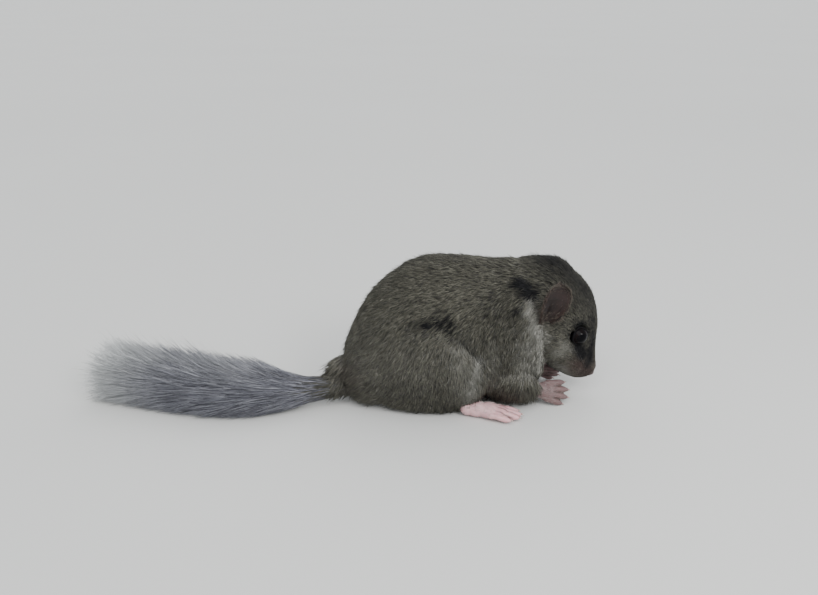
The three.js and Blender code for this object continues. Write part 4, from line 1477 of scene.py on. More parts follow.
@dataclass
class Coat:
    """The coat of tufts over the skin.

    Attributes:
        body_density: Tufts a square millimetre on the body.
        clump_area: Square millimetres that share one tuft for the others to lean to.
        lengths: The least and the most of its full length that a tuft has.
        stray: How far it turns from the lie of the hair, in radians.
        rooted: How deep in the skin it starts.
        bend: Where along its length it bends.
        reach: Where along its length its tip lies.
        rise: The share of its height at the bend.
        guard_share: The share of tufts that are guard hairs.
        guard_rise: The share of a guard hair's height at its bend.
        nose_reach: How far from the nose pad's middle tufts stay.
    """

    body_density: float = 15.0
    face_density: float = 31.0
    seed: int = 11
    clump_area: float = 0.9
    lean: float = 0.5
    lengths: Pair = (0.75, 1.25)
    heights: Pair = (0.7, 1.15)
    widths: Pair = (0.7, 1.3)
    stray: float = 0.27
    rooted: float = 0.25
    bend: float = 0.42
    reach: float = 0.92
    rise: float = 0.72
    guard_share: float = 0.08
    guard_length: float = 1.2
    guard_lift: float = 1.5
    guard_rise: float = 0.56
    guard_width: float = 0.5
    nose_reach: float = 1.9
    taper: tuple[float, ...] = (0.75, 1.0)

    def patches(self, skin: Object) -> list[tuple[str, Object]]:
        """Copies each zone of the skin on each side, and unwraps it over a whole square.

        Args:
            skin: The skin.

        Returns:
            Names and patches.
        """
        triangles = corner_numbers(skin.data).reshape(-1, 3)
        points = places(skin)
        middles = points[triangles].mean(axis=1)
        made = []
        for zone, mask in zone_masks(middles).items():
            for side in Side:
                own = triangles[mask & (np.sign(middles[:, 1] + 1e-9) == side.value)]
                used, own = np.unique(own, return_inverse=True)
                patch = mesh_object("patch", points[used], own.reshape(-1, 3))
                unwrap_all(patch, 75, 0.004)
                made.append((f"coat_{zone.value}_{side.label}", patch))
        return made

    def density(self, points: Array) -> Array:
        """How closely the tufts stand.

        Args:
            points: Places on the skin, one a row.

        Returns:
            Tufts a square millimetre at each place.
        """
        head = on_head(points)
        face = np.clip(1.35 + to_head(points)[:, 0] / 40, 0.5, 1.3)
        off_floor = np.clip((points[:, 2] - 1.0) / 2.5, 0.35, 1)
        at_tail = np.clip((points[:, 0] + 22.4) / 2.5, 0.3, 1)
        return (head * self.face_density * face + (1 - head) * self.body_density) * off_floor * at_tail

    def spared(self, points: Array) -> Array:
        """Keeps tufts off the eyes and the nose pad.

        Args:
            points: Places that a tuft would take up.

        Returns:
            Whether each place is free for it.
        """
        clear = np.linalg.norm(points - from_head(np.array((-0.6, 0, 0))), axis=-1) > self.nose_reach
        for side in Side:
            eye = from_head(side.mirror(EYE_PLACE))
            clear &= np.linalg.norm(points - eye, axis=-1) > EYE_OPENING - 0.12
        return clear

    def clumped(self, roots: Array, tips: Array, random: Generator) -> Array:
        """Draws the tips of neighbouring tufts together.

        Args:
            roots: Where the tufts grow.
            tips: Where they end.
            random: The source of chance.

        Returns:
            The tips after it.
        """
        count = max(2, int(len(roots) / (self.body_density * self.clump_area)))
        leaders = random.choice(len(roots), count, replace=False)
        tree = KDTree(count)
        for i, leader in enumerate(leaders):
            tree.insert(roots[leader], i)
        tree.balance()
        nearest = np.array([tree.find(root)[1] for root in roots])
        goal = tips[leaders[nearest]]
        pull = random.uniform(0.0, self.lean, (len(roots), 1))
        return tips + (goal - tips) * pull

    def tufts(self, roots: Roots, random: Generator) -> tuple[Strands, Array]:
        """Shapes the tufts that grow at roots.

        Args:
            roots: Where they grow.
            random: The source of chance.

        Returns:
            The tufts, and which of the roots they grow from.
        """
        count = len(roots.places)
        depth, length, width = coat_sizes(roots.places)
        varied = random.uniform(*self.lengths, count)
        lie = lie_at(roots.places, roots.normals)
        across = np.cross(roots.normals, lie)
        stray = np.tan(random.normal(0.0, self.stray, count))
        heading = unit(lie + across * stray[:, None])
        guard = random.random(count) < self.guard_share
        lift = depth * random.uniform(*self.heights, count) * np.where(guard, self.guard_lift, 1.0)
        run = (length * varied * np.where(guard, self.guard_length, 1.0))[:, None]
        start = roots.places - roots.normals * self.rooted
        rise = lift * np.where(guard, self.guard_rise, self.rise)
        middle = roots.places + heading * run * self.bend + roots.normals * rise[:, None]
        tip = roots.places + heading * run * self.reach + roots.normals * lift[:, None]
        tip = self.clumped(roots.places, tip, random)
        paths = np.stack((start, middle, tip), axis=1)
        kept = self.spared(roots.places) & self.spared(middle) & self.spared(tip)
        across = np.cross(roots.normals, heading)
        thick = width * random.uniform(*self.widths, count) * np.where(guard, self.guard_width, 1.0)
        made = Strands(paths[kept], across[kept], roots.normals[kept], thick[kept], self.taper)
        return made, np.flatnonzero(kept)

    def build(self, skin: Object) -> list[Object]:
        """Grows the coat.

        Args:
            skin: The skin to grow it on.

        Returns:
            One piece for each zone and side.
        """
        made = []
        for number, (name, patch) in enumerate(self.patches(skin)):
            random = default_rng(self.seed + number)
            roots = Surface.of(patch).scatter(self.density, random)
            bpy.data.objects.remove(patch)
            strands, kept = self.tufts(roots, random)
            roots = roots.only(kept)
            shown = strands.paths[:, 1] * 0.5 + strands.paths[:, 2] * 0.5
            shade = 0.6 * random.random(len(kept)) + 0.2 + 0.2 * ripple(roots.places, 1.6)
            tones = np.stack((random.random(len(kept)), np.clip(shade, 0, 1)), axis=1)
            made.append(strands.build(name, tones, marks_at(shown), roots.unwrap))
        return made


@dataclass
class Brush:
    """The tail's bushy hair, which leaves the core steeply and bends to lie along it.

    Attributes:
        longest: A lock's full length where the brush is widest.
        lengths: The least and the most of its full length that a lock has.
        bends: Where along its length its root, bend and tip lie.
        curl: How soon it reaches its full distance from the axis.
        stray: How far it turns round the tail, in radians.
        long_share: The share of the locks on top that stand out further.
        spans: Each piece's name, and where along the tail it starts and ends.
    """

    count: int = 28000
    longest: float = 13.0
    shortest: float = 5.0
    width: float = 0.21
    lengths: Pair = (0.7, 1.15)
    widths: Pair = (0.6, 1.3)
    bends: tuple[float, ...] = (0.0, 0.45, 1.0)
    curl: float = 1.4
    stray: float = 0.12
    long_share: float = 0.05
    long_reach: float = 1.25
    seed: int = 23
    taper: tuple[float, ...] = (0.7, 1.0)
    spans: tuple[tuple[str, float, float], ...] = (
        ("root", 0.0, 0.2), ("near", 0.03, 0.5), ("far", 0.5, 0.75), ("end", 0.75, 1.0),
    )

    def build(self) -> list[tuple[Object, bool]]:
        """Grows the brush.

        Returns:
            Its pieces from the root to the tip, each with whether it has the coat's colours.
        """
        random = default_rng(self.seed)
        share = random.uniform(0.0, 1.0, self.count)
        around = random.uniform(-0.5 * math.pi, 1.5 * math.pi, self.count)
        paths, across, outward, width = self.paths(share, around, random)
        tones = chances(random, self.count)
        marks = np.zeros((self.count, 3))
        frost = rising(share, 0.62, 0.34) ** 1.4
        edge = np.sin(around) ** 4 * rising(share, 0.2, 0.2)
        marks[:, Tone.PALE.value] = np.clip(frost + 0.5 * edge * random.random(self.count), 0, 1)
        # Painted shade: the hair at the tail's root, under the rump, is darker
        marks[:, Tone.DARK.value] = 0.25 * rising(-share, -0.2, 0.1)
        made = []
        is_coat = random.random(self.count) > (share - 0.03) / 0.17
        for name, low, high in self.spans:
            mask = (share >= low) & (share < high) & (is_coat == (name == "root"))
            strands = Strands(paths[mask], across[mask], outward[mask], width[mask], self.taper)
            turn = around[mask] / (2 * math.pi) + 0.25
            unwrap = np.stack(((share[mask] - low) / (high - low), turn), axis=1)
            piece = strands.build("tail_hair_" + name, tones[mask], marks[mask], unwrap)
            made.append((piece, name == "root"))
        return made

    def paths(
        self, share: Array, around: Array, random: Generator
    ) -> tuple[Array, Array, Array, Array]:
        """Shapes the hair.

        Args:
            share: Where along the tail each lock grows.
            around: The angle round the tail that it grows at, from the right side over the top.
            random: The source of chance.

        Returns:
            Paths, the directions that the locks are wide in, outward directions, and widths.
        """
        axis = TailAxis()
        count = len(share)
        length = self.shortest + (self.longest - self.shortest) * TAIL_REACH(share + 0.1)
        length = length * random.uniform(*self.lengths, count)
        room = (TAIL_END + random.normal(0, 0.02, count) - share) * TAIL_LENGTH
        length = np.minimum(length, np.maximum(room, 3.0))
        on_top = (np.sin(around) > 0.5) & (share > 0.5)
        long_hair = (random.random(count) < self.long_share) & on_top
        core = TAIL_CORE(share) * 0.8
        full = TAIL_REACH(share + 0.6 * length / TAIL_LENGTH) * TAIL_PLUME
        inner = 0.3 * rising(-share, -0.95, 0.15)
        full = full * random.uniform(inner, 1.0) ** 0.6 * np.where(long_hair, self.long_reach, 1.0)
        full = np.maximum(full, np.minimum(core + 0.5, inner * 20))
        stray = random.normal(0, self.stray, count)
        stages = []
        for step in self.bends:
            place, _, side = axis.at(share + step * length / TAIL_LENGTH)
            radius = core + (full - core) * (1 - (1 - step) ** self.curl)
            stages.append(place + spokes(side, around + stray * step) * radius[:, None])
        paths = np.stack(stages, axis=1)
        paths[..., 2] = np.maximum(paths[..., 2], 0.2 + 0.6 * random.random(count)[:, None])
        _, heading, side = axis.at(share)
        outward = spokes(side, around)
        across = unit(np.cross(outward, heading))
        return paths, across, outward, self.width * random.uniform(*self.widths, count)


@dataclass
class Eye:
    """A round, wet eye, a little fuller in front, and the dark rims of its lids.

    Attributes:
        cornea: How much fuller the eyeball is in front.
        sunk: How far the eye lies behind its place.
        opening: The share of the eyeball's radius at which the rims lie.
        upright: The opening's height as a share of its length.
        ahead: How far the rims stand in front of the eyeball's middle.
        corner: How far the corners of the lids run back.
    """

    side: Side
    radius: float = 2.5
    cornea: float = 0.22
    rim: float = 0.36
    sunk: float = 0.3
    opening: float = 0.93
    upright: float = 0.94
    ahead: float = 0.95
    corner: float = 0.55

    def facing(self) -> Array:
        """Which way the eye looks."""
        return unit(turned_from_head(self.side.mirror(EYE_FACING)))

    def place(self, ahead: float) -> Array:
        """The eye's own place, moved ahead along the way it looks."""
        return from_head(self.side.mirror(EYE_PLACE)) + self.facing() * ahead

    def ball(self) -> Object:
        """Makes the eyeball.

        Returns:
            The eyeball.
        """
        name = "eyeball_" + self.side.label
        made, bare = primitive(name, ADD_SPHERE, segments=48, ring_count=28, radius=self.radius * MM)
        ways = unit(bare)
        front = ways @ self.facing()
        bulge = self.cornea * rising(front, 0.55, 0.45) ** 1.3
        move_to(made, self.place(-self.sunk) + ways * (self.radius + bulge)[:, None])
        put_values(made.data, "iris", rising(front, 0.35, 0.2) * rising(-front, -0.88, 0.1))
        shade_smooth(made)
        return made

    def lids(self) -> Object:
        """Makes the rims of the lids round the eye.

        Returns:
            The rims.
        """
        facing = self.facing()
        forward = tangent(turned_from_head(np.array((0.95, 0.0, -0.3))), facing)
        upward = np.cross(facing, forward) * self.side.value
        thin = 0.1
        sizes = {"major_segments": 56, "minor_segments": 12, "major_radius": 1.0, "minor_radius": thin}
        made, bare = primitive("lids_" + self.side.label, bpy.ops.mesh.primitive_torus_add, **sizes)
        x, y, z = bare.T
        turn = np.arctan2(y, x)
        ring = np.hypot(x, y) - 1.0
        corner = np.abs(np.cos(turn)) ** 6
        radius = self.opening * self.radius + 0.2 * corner + ring * self.rim / thin
        height = z * self.rim / thin - self.corner * corner
        points = (
            self.place(self.ahead - self.sunk)
            + (radius * np.cos(turn))[:, None] * forward
            + (self.upright * radius * np.sin(turn))[:, None] * upward
            + height[:, None] * facing
        )
        move_to(made, points)
        # Painted shade at the corners of the lids
        put_skin(made.data, 0.4 * np.clip(0.5 + 0.5 * np.sin(turn * 2), 0, 1), 0.5 * corner)
        point_outwards(made)
        shade_smooth(made)
        return made


@dataclass
class Ear:
    """A thin, rolled leaf of an ear, with its folds and its short hair."""

    side: Side
    root: Triple
    upward: Triple
    wall: float = 0.42
    hairs: int = 1700
    wrap: Profile = Profile(((0, 2.0), (0.25, 1.75), (0.5, 1.45), (1, 1.3)))
    half_width: Profile = Profile(
        ((0, 2.0), (0.2, 3.0), (0.45, 4.1), (0.66, 4.3), (0.83, 3.7), (0.94, 2.4), (1, 0.9))
    )
    depth: Profile = Profile(((0, 1.2), (0.2, 2.1), (0.45, 2.4), (0.7, 1.9), (1, 0.8)))

    def axes(self) -> Array:
        """The leaf's own directions in the head's frame: facing, sideways, upward.

        Returns:
            Three unit rows.
        """
        upward = unit(self.side.mirror(self.upward))
        facing = self.side.mirror((0.5, 0.85, 0.1))
        facing = unit(facing - upward * (facing @ upward))
        return np.stack((facing, np.cross(upward, facing), upward))

    def leaf(self, across: Array, along: Array) -> Array:
        """Places on the leaf's middle surface.

        Args:
            across: -1 at one edge and 1 at the other.
            along: 0 at the root and 1 at the tip.

        Returns:
            Places in the animal's frame.
        """
        rise = 1 - (1 - along) ** 1.35
        wrap = self.wrap(rise)
        forward = (1 - np.cos(across * wrap)) / (1 - np.cos(wrap))
        front = across * self.side.value
        inset = 0.35
        fold = 0.55 * np.exp(-(((front + 0.25) / 0.16) ** 2) - ((rise - 0.34) / 0.16) ** 2)
        ridge = 0.4 * np.exp(-(((front - 0.35 - 0.3 * rise) / 0.1) ** 2) - ((rise - 0.4) / 0.25) ** 2)
        pleats = 0.09 * np.sin(rise * 30) * np.exp(-((rise - 0.62) ** 2) / 0.03) * (1 - across**2)
        x = inset + (self.depth(rise) - inset) * forward - 0.6 * rise**2 + fold + ridge + pleats
        y = self.side.value * (self.half_width(rise) - inset) * np.sin(across * wrap)
        local = np.stack((x, y, EAR_HEIGHT * rise), axis=-1)
        return from_head(local @ self.axes() + self.side.mirror(self.root))

    def build(self) -> Object:
        """Makes the ear.

        Returns:
            The ear.
        """
        grid = bpy.ops.mesh.primitive_grid_add
        name = "ear_leaf_" + self.side.label
        made, bare = primitive(name, grid, x_subdivisions=40, y_subdivisions=44, size=2)
        across, along, _ = bare.T
        along = (along + 1) / 2
        move_to(made, self.leaf(across, along))
        rear = -across * self.side.value
        rim = rising(np.abs(across), 0.72, 0.25) * np.where(rear > 0, 1.0, 0.45)
        # Painted shade in the ear's cup, low and a little towards the rear
        painted_hollow_shade = np.exp(-(((rear - 0.12) / 0.42) ** 2) - ((along - 0.36) / 0.3) ** 2)
        put_skin(made.data, np.clip(rim + 0.35 * (along > 0.9), 0, 1), 0.85 * painted_hollow_shade)
        apply_modifier(made, "SOLIDIFY", thickness=self.wall * MM, offset=0.0)
        point_outwards(made)
        apply_modifier(made, "SMOOTH", factor=0.5, iterations=2)
        shade_smooth(made)
        return made

    def fringe(self) -> Object:
        """Grows short hair along the rim, over the back and, sparser, inside.

        Returns:
            The hair as one piece.
        """
        random = default_rng(31 + self.side.value)
        count = self.hairs
        across = random.uniform(-1, 1, count)
        along = random.uniform(0.0, 1.0, count) ** 0.9
        rim = random.random(count) < 0.45
        across = np.where(rim, np.sign(across) * random.uniform(0.93, 1.0, count), across)
        roots = self.leaf(across, along)
        nudge = 0.01
        up_leaf = unit(self.leaf(across, along + nudge) - self.leaf(across, along - nudge))
        over_leaf = unit(self.leaf(across + nudge, along) - self.leaf(across - nudge, along))
        inside = unit(np.cross(over_leaf, up_leaf)) * self.side.value
        facing = turned_from_head(self.axes()[0])
        inside = inside * np.sign(inside @ facing)[:, None]
        at_base = along < 0.2
        on_back = (random.random(count) < 0.85) & ~at_base
        outward = np.where(on_back[:, None], -inside, inside)
        length = (random.uniform(0.5, 1.0, count) + 1.3 * at_base * random.random(count))[:, None]
        edge = over_leaf * (np.sign(across) * rim * 0.7)[:, None]
        heading = unit(up_leaf + edge + 0.25 * random.normal(0, 1, (count, 3)))
        middle = roots + outward * (self.wall * 0.5 + 0.1) + heading * length * 0.5
        tip = roots + outward * (self.wall * 0.5 + 0.2) + heading * length
        paths = np.stack((roots, middle, tip), axis=1)
        side_way = unit(np.cross(outward, heading))
        strands = Strands(paths, side_way, outward, random.uniform(0.07, 0.13, count), (0.8, 1.0))
        tones = chances(random, count)
        marks = np.zeros((count, 3))
        marks[:, Tone.WARM.value] = 0.5
        unwrap = np.stack(((across + 1) / 2, along), axis=1)
        return strands.build("ear_fringe_" + self.side.label, tones, marks, unwrap)


@dataclass
class Nose:
    """The moist pad of the nose, with its nostrils and the cleft below."""

    size: Triple = (1.25, 1.8, 1.4)
    middle: Triple = (-0.95, 0.0, 0.05)

    def build(self) -> Object:
        """Makes the pad.

        Returns:
            The pad.
        """
        made, ways = primitive("nose_pad", ADD_SPHERE, segments=72, ring_count=48, radius=1.0)
        dent = np.zeros(len(ways))
        for side in Side:
            nostril = unit(np.array((0.72, side.value * 0.62, -0.12)))
            away = np.linalg.norm((ways - nostril) * (1.0, 1.0, 1.5), axis=1)
            dent += 0.5 * np.exp(-((away / 0.24) ** 2))
        below = np.clip(0.2 - ways[:, 2], 0, 1)
        dent += 0.22 * below * np.exp(-((ways[:, 1] / 0.1) ** 2)) * (ways[:, 0] > 0)
        move_to(made, from_head(ways * self.size * (1 - dent)[:, None] + self.middle))
        # Painted shade in the nostrils and the cleft below them
        put_skin(made.data, np.clip(ways[:, 2], 0, 1), np.clip(dent * 2.4, 0, 1))
        shade_smooth(made)
        return made


@dataclass(frozen=True)
class Toe:
    """A toe in the left foot's own frame: where it starts, where it points and how big it is."""

    root: Triple
    heading: float
    length: float
    thick: float

    def line(self, side: Side) -> tuple[Array, Array]:
        """The toe's axis over its knuckles to the pad at its tip.

        Args:
            side: The side that the foot is on.

        Returns:
            Places along it, and the toe's radius there.
        """
        way = np.array((math.cos(self.heading), side.value * math.sin(self.heading), 0.0))
        shares = np.array((-0.6, 0.1, 0.45, 0.75, 0.95, 1.08))
        rises = np.array((0.2, 0.3, 0.12, -0.12, -0.2, -0.26))
        line = side.mirror(self.root) + way * (shares * self.length)[:, None]
        line[:, 2] += rises
        radii = self.thick * np.array((0.55, 1.0, 0.84, 0.92, 0.86, 0.4))
        even = np.linspace(0, 1, 18)
        return smooth_line(line, len(even)), np.interp(even, np.linspace(0, 1, len(radii)), radii)


@dataclass(frozen=True)
class Foot:
    """A bare foot with soft toes, its sparse hair and its claws."""

    node: str
    side: Side
    place: Triple
    splay: float
    sole: tuple[tuple[float, ...], ...]
    toes: tuple[Toe, ...]
    dip: float = 0.0
    roll: float = 0.0
    # How much shadow is painted over the whole foot and its hair
    shade: float = 0.0
    voxel: float = 0.17
    claw_width: float = 0.5

    def turn(self) -> Array:
        """Turns the foot's own directions into the animal's.

        Returns:
            The foot's forward, left and upward directions, one a row.
        """
        angles = (-self.side.value * self.roll, self.dip, self.side.value * self.splay)
        x, y, z = (Matrix.Rotation(angle, 3, axis) for angle, axis in zip(angles, "XYZ"))
        return np.array(z @ y @ x).T

    def flesh(self) -> Object:
        """Makes the foot's skin.

        Returns:
            The foot.
        """
        turn = self.turn()
        parts = []
        for x, y, z, length, width, height in self.sole:
            part = egg(np.zeros(3), (length, width, height))
            move_to(part, (places(part) + self.side.mirror((x, y, z))) @ turn + self.place)
            parts.append(part)
        for toe in self.toes:
            line, radii = toe.line(self.side)
            parts.append(tube(line @ turn + self.place, radii))
        made = merged(parts, self.node + "_skin", self.voxel)
        apply_modifier(made, "SMOOTH", factor=0.5, iterations=5)
        points = places(made)
        points[:, 2] = np.maximum(points[:, 2], FOOT_FLOOR)
        move_to(made, points)
        put_skin(made.data, *self.shading((points - self.place) @ turn.T, points[:, 2]))
        shade_smooth(made)
        return made

    def shading(self, local: Array, height: Array) -> tuple[Array, Array]:
        """Where the foot is flushed, and where shade is painted on it: in the creases between the toes
        and, by its shade, all over.

        Args:
            local: Places in the foot's own frame.
            height: Their heights over the floor.

        Returns:
            The flush and the shade of each place.
        """
        knuckles = min(toe.root[0] for toe in self.toes)
        on_toes = rising(local[:, 0], knuckles, 3.0)
        aside = []
        for toe in self.toes:
            root = self.side.mirror(toe.root)
            bend = self.side.value * math.tan(toe.heading)
            aside.append(np.abs(local[:, 1] - root[1] - (local[:, 0] - root[0]) * bend))
        nearest, next_one = np.sort(np.array(aside), axis=0)[:2]
        # Painted shade in the creases between the toes
        painted_gap_shade = np.clip(1.4 - (next_one - nearest) / 0.5, 0, 1) * on_toes
        flush = np.clip(0.5 * on_toes + 0.4 * np.clip(1 - height / 1.6, 0, 1), 0, 1)
        return flush, np.clip(self.shade + 0.8 * painted_gap_shade, 0, 1)

    def claws(self) -> Object:
        """Makes the claws, one at the tip of each toe.

        Returns:
            The claws as one piece.
        """
        turn = self.turn()
        paths, across, outward = [], [], []
        for toe in self.toes:
            line, _ = toe.line(self.side)
            way = unit((line[-1] - line[-5]) * (1.0, 1.0, 0.0))
            steps = ((-0.4, 0.15), (0.15, 0.24), (0.5, 0.08), (0.8, -0.2))
            curve = np.array([line[-1] + way * run + UP * rise for run, rise in steps])
            paths.append(curve @ turn + self.place)
            across.append(np.cross(way, UP) @ turn)
            outward.append(UP @ turn)
        count = len(self.toes)
        strands = Strands(
            np.array(paths), np.array(across), np.array(outward), np.full(count, self.claw_width),
            (0.9, 1.0, 0.7), thickness=0.7,
        )
        unwrap = np.stack((np.arange(count) / count, np.full(count, 0.5)), axis=1)
        name = self.node + "_claws"
        return strands.build(name, np.full((count, 2), 0.5), np.zeros((count, 3)), unwrap)

    def hair(self, flesh: Object) -> Object:
        """Grows sparse hair on the top of the foot.

        Args:
            flesh: The foot's skin.

        Returns:
            The hair as one piece.
        """
        random = default_rng(len(self.node) * 7 + 3)
        turn = self.turn()
        points, normals = places(flesh), vertex_vectors(flesh, "normal")
        up = np.flatnonzero((normals @ turn[2] > 0.25) & (points[:, 2] > 0.7))
        whole = self.toes[1].root[0] + self.toes[1].length
        reach = ((points[up] - self.place) @ turn[0]) / whole
        drawn = random.random(len(up)) < 0.16 * np.clip(1.15 - 1.2 * reach, 0.1, 1)
        chosen, reach = up[drawn], reach[drawn]
        count = len(chosen)
        roots, outward = points[chosen], normals[chosen]
        heading = tangent(turn[0] + 0.2 * random.normal(0, 1, (count, 3)), outward)
        length = (random.uniform(0.5, 1.1, count) * (1.7 - np.clip(reach, 0, 1)))[:, None]
        middle = roots + heading * length * 0.5 + outward * 0.1
        tip = roots + heading * length + outward * 0.1
        paths = np.stack((roots - outward * 0.08, middle, tip), axis=1)
        across = unit(np.cross(outward, heading))
        strands = Strands(paths, across, outward, random.uniform(0.045, 0.075, count), (0.8, 1.0))
        tones = chances(random, count)
        # Hair of a foot with painted shadow is darkened by it; other feet get pale hair
        marks = np.tile((0.4 * (self.shade == 0), 0.6 * self.shade, 0.0), (count, 1))
        span = np.ptp(points, axis=0)[:2]
        unwrap = (roots[:, :2] - points.min(axis=0)[:2]) / span
        return strands.build(self.node + "_hair", tones, marks, unwrap)


# Stations of a sole: its middle and its half lengths
HIND_SOLE = (
    (2.6, 0.0, 2.2, 2.1, 1.7, 1.9), (5.0, 0.0, 2.2, 3.0, 2.2, 2.1), (8.0, 0.1, 2.1, 3.4, 2.7, 2.0),
    (10.6, 0.1, 1.7, 2.8, 3.0, 1.6),
)
HAND_SOLE = (
    (0.2, 0.0, 1.9, 2.2, 2.1, 1.6), (2.2, 0.0, 1.8, 2.4, 2.4, 1.6), (4.0, 0.0, 1.6, 2.3, 2.8, 1.4),
)
HIND_TOES = (
    Toe((8.7, -2.7, 1.2), -0.36, 3.8, 0.98),
    Toe((11.2, -1.85, 1.35), -0.13, 4.5, 1.04),
    Toe((11.7, -0.3, 1.45), 0.0, 4.7, 1.06),
    Toe((11.4, 1.25, 1.5), 0.09, 4.5, 1.04),
    Toe((9.8, 2.6, 1.5), 0.22, 4.1, 0.96),
)
HAND_TOES = (
    Toe((4.2, -2.3, 1.15), -0.18, 3.5, 1.02),
    Toe((4.9, -0.8, 1.3), -0.06, 4.0, 1.06),
    Toe((4.9, 0.78, 1.3), 0.06, 4.0, 1.06),
    Toe((4.2, 2.25, 1.15), 0.19, 3.5, 1.02),
)
FEET = (
    Foot("hind_foot_right", Side.RIGHT, (13.2, -13.9, 0.0), 0.14, HIND_SOLE, HIND_TOES),
    Foot("hind_foot_left", Side.LEFT, (14.6, 13.6, 0.0), 0.16, HIND_SOLE, HIND_TOES),
    # The forepaws carry painted shadow through their shade
    Foot(
        "forepaw_right", Side.RIGHT, (34.5, -6.6, 3.9), -0.05, HAND_SOLE, HAND_TOES,
        dip=0.16, roll=1.1, shade=0.88,
    ),
    Foot(
        "forepaw_left", Side.LEFT, (34.2, 5.4, 3.5), -0.08, HAND_SOLE, HAND_TOES,
        dip=0.12, roll=1.0, shade=0.85,
    ),
)


@dataclass
class Whiskers:
    """Stiff hairs in rows on both sides of the muzzle."""

    rows: int = 4
    each: int = 4
    width: float = 0.08
    shortest: float = 5.0
    longer: float = 3.2
    first: Triple = (-2.9, 2.0, -0.2)
    next_back: Triple = (-1.25, 0.5, 0.0)
    next_down: Triple = (-0.3, 0.0, -1.0)

    def build(self) -> Object:
        """Makes the whiskers.

        Returns:
            All of them as one piece.
        """
        random = default_rng(5)
        steps = np.linspace(0, 1, 8)
        paths, ways = [], []
        for side in Side:
            for row in range(self.rows):
                for column in range(self.each):
                    root = self.first + column * np.array(self.next_back)
                    root = root + row * np.array(self.next_down)
                    length = self.shortest + self.longer * column + random.uniform(-1, 1)
                    fan = (-0.55 - 0.2 * column, 0.85, 0.05 - 0.33 * row)
                    way = unit(np.array(fan) + random.normal(0, 0.06, 3))
                    bend = np.array((-0.5, -0.1, 0.12 - 0.1 * row)) * length * 0.35
                    curve = root + way * (length * steps)[:, None] + bend * (steps**2)[:, None]
                    paths.append(from_head(side.mirror(curve)))
                    ways.append(turned_from_head(side.mirror(way)))
        count = len(paths)
        heading = np.array(ways)
        across = unit(np.cross(heading, UP))
        outward = unit(np.cross(across, heading))
        width = self.width * random.uniform(0.8, 1.2, count)
        taper = tuple(1.0 - 0.85 * steps[:-1])
        strands = Strands(np.array(paths), across, outward, width, taper, thickness=0.8)
        unwrap = random.random((count, 2)) * 0.9
        return strands.build("whiskers", np.full((count, 2), 0.5), np.zeros((count, 3)), unwrap)


@dataclass
class Studio:
    """The floor, the lights and the camera."""

    camera_place: Triple = (0.0, -204.0, 105.6)
    camera_pitch: float = math.radians(20.7)
    lens: float = 35.2
    floor_size: float = 60.0
    sun_spread: float = 50.0
    lamp_place: Triple = (190.0, -260.0, 240.0)
    lamp_size: float = 0.12
    lamp_power: float = 0.8
    air: tuple[float, float, float, float] = (0.93, 0.96, 1.0, 1.0)
    air_power: float = 1.25

    def build(self, floor_material: Material) -> None:
        """Sets the stage.

        Args:
            floor_material: The floor's finish.
        """
        self.floor(floor_material)
        self.sun("front", 44, -10, 2.1)
        self.sun("behind", -46, 24, 0.8)
        self.lamp()
        self.world()
        self.camera()

    def floor(self, material: Material) -> None:
        """Lays the flat floor.

        Args:
            material: Its finish.
        """
        made, _ = primitive("studio_floor", bpy.ops.mesh.primitive_plane_add, size=self.floor_size)
        in_edit_mode(made, bpy.ops.mesh.subdivide, number_cuts=8)
        made.data.materials.append(material)

    def sun(self, name: str, pitch: float, roll: float, power: float) -> None:
        """Adds a broad soft light that reaches the whole floor evenly.

        Args:
            name: The light's name.
            pitch: How far it leans towards the camera from overhead, in degrees.
            roll: How far it leans towards the tail.
            power: Its strength.
        """
        data = bpy.data.lights.new(name, "SUN")
        data.angle = math.radians(self.sun_spread)
        data.energy = power
        linked(name, data).rotation_euler = (math.radians(pitch), math.radians(roll), 0.0)

    def lamp(self) -> None:
        """Adds the small lamp that lights up the eye."""
        data = bpy.data.lights.new("lamp", "AREA")
        data.size = self.lamp_size
        data.energy = self.lamp_power
        made = linked("lamp", data)
        made.location = Vector(packed(np.array(self.lamp_place)))
        target = Vector(packed(from_head(Side.RIGHT.mirror(EYE_PLACE))))
        made.rotation_euler = (target - made.location).to_track_quat("-Z", "Y").to_euler()

    def world(self) -> None:
        """Gives the room its soft even light."""
        world = bpy.data.worlds.new("studio_air")
        world.use_nodes = True
        background = world.node_tree.nodes["Background"]
        background.inputs["Color"].default_value = self.air
        background.inputs["Strength"].default_value = self.air_power
        bpy.context.scene.world = world

    def camera(self) -> None:
        """Stands the camera where the photograph was taken from."""
        data = bpy.data.cameras.new("camera")
        data.lens = self.lens
        data.sensor_width = 36.0
        data.clip_start = 0.01
        camera = linked("camera", data)
        camera.location = Vector(packed(np.array(self.camera_place)))
        camera.rotation_euler = (math.pi / 2 - self.camera_pitch, 0.0, 0.0)
        bpy.context.scene.camera = camera


COAT_HAIR = HairFinish(
    "coat_hair",
    root=(34, 34, 35),
    middle=(60, 58, 53),
    tip=(88, 86, 76),
    pale_tip=(112, 110, 98),
    dark_tip=(50, 49, 45),
)
TAIL_HAIR = HairFinish(
    "tail_hair",
    root=(70, 69, 74),
    middle=(98, 98, 105),
    tip=(112, 113, 121),
    pale_tip=(150, 151, 157),
    dark_tip=(84, 84, 91),
    pale=(192, 194, 193),
    dark=(40, 40, 42),
    pale_share=0.28,
    dark_share=0.3,
    grain=0.16,
)
FOOT_HAIR = HairFinish(
    "foot_hair",
    root=(186, 154, 152),
    middle=(194, 170, 167),
    tip=(204, 190, 186),
    pale_tip=(220, 212, 208),
    dark_tip=(178, 160, 156),
)
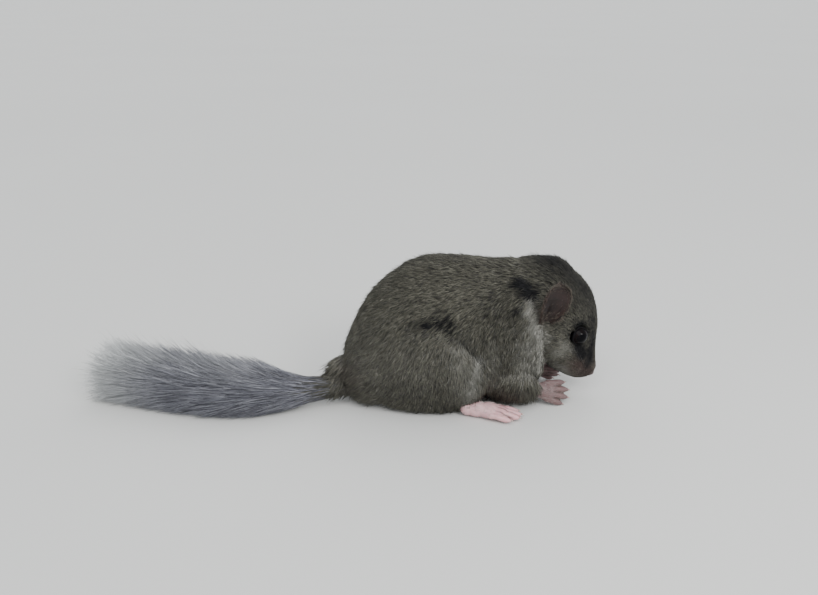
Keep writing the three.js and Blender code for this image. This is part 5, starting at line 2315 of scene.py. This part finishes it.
# Each skin's deep colour is painted shade: between the toes and over the forepaws, in the ear's cup, at
# the lid corners and in the nostrils
FOOT_SKIN = FleshFinish(
    "foot_skin", (192, 156, 157), (176, 138, 141), (202, 152, 155), deep=(74, 59, 56)
)
EAR_SKIN = FleshFinish(
    "ear_skin", (35, 26, 24), (42, 31, 29), (62, 49, 44), deep=(19, 13, 12), crease_scale=1400.0,
    gloss=0.25,
)
LID_SKIN = FleshFinish(
    "lid_skin", (10, 9, 11), (14, 13, 14), (18, 16, 16), deep=(7, 7, 8), roughness=0.8, gloss=0.08
)
NOSE_SKIN = FleshFinish(
    "nose_skin", (66, 48, 47), (56, 41, 40), (78, 57, 55), deep=(18, 12, 12),
    crease_scale=2600.0, roughness=0.34,
)
CLAW = HornFinish("claw", (150, 112, 108), (190, 178, 168))
WHISKER = HornFinish("whisker", (30, 28, 28), (92, 90, 87))

EARS = (
    Ear(Side.LEFT, root=(-24.8, 9.7, -5.3), upward=(-0.76, 0.36, 0.4)),
    Ear(Side.RIGHT, root=(-25.6, 9.7, -3.0), upward=(-0.66, 0.33, 0.7)),
)


def dress_face(coat_hair: Material, pores: NodeTree) -> None:
    """Builds the eyes, ears, nose and whiskers.

    Args:
        coat_hair: The coat's finish.
        pores: The pores group.
    """
    eye_finish = EyeFinish().build()
    lid_finish = LID_SKIN.build(pores)
    ear_finish = EAR_SKIN.build(pores)
    for side in Side:
        eye = Eye(side)
        finished(eye.ball(), eye_finish, ["eye_" + side.label])
        finished(eye.lids(), lid_finish)
    for ear in EARS:
        finished(ear.build(), ear_finish, ["ear_" + ear.side.label])
        finished(ear.fringe(), coat_hair)
    finished(Nose().build(), NOSE_SKIN.build(pores))
    finished(Whiskers().build(), WHISKER.build())


def dress_feet(grizzle: NodeTree, pores: NodeTree) -> None:
    """Builds the four feet.

    Args:
        grizzle: The grizzle group.
        pores: The pores group.
    """
    skin = FOOT_SKIN.build(pores)
    pale_hair = FOOT_HAIR.build(grizzle)
    horn = CLAW.build()
    for foot in FEET:
        flesh = foot.flesh()
        hair = foot.hair(flesh)
        finished(flesh, skin, [foot.node])
        finished(hair, pale_hair)
        finished(foot.claws(), horn)


def main() -> None:
    """Builds and dresses the animal, then sets the stage."""
    logging.basicConfig(level=logging.INFO, format="%(name)s: %(message)s")
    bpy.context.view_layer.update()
    grizzle = grizzle_group()
    pores = pores_group()
    coat_hair = COAT_HAIR.build(grizzle)
    hide = Hide()
    skin = hide.build()
    for piece in Coat().build(skin):
        finished(piece, coat_hair)
    hide.dress(skin, coat_hair)
    tail_hair = TAIL_HAIR.build(grizzle)
    for piece, is_coat in Brush().build():
        finished(piece, coat_hair if is_coat else tail_hair)
    dress_face(coat_hair, pores)
    dress_feet(grizzle, pores)
    Studio().build(FloorFinish().build())


if __name__ == "__main__":
    main()
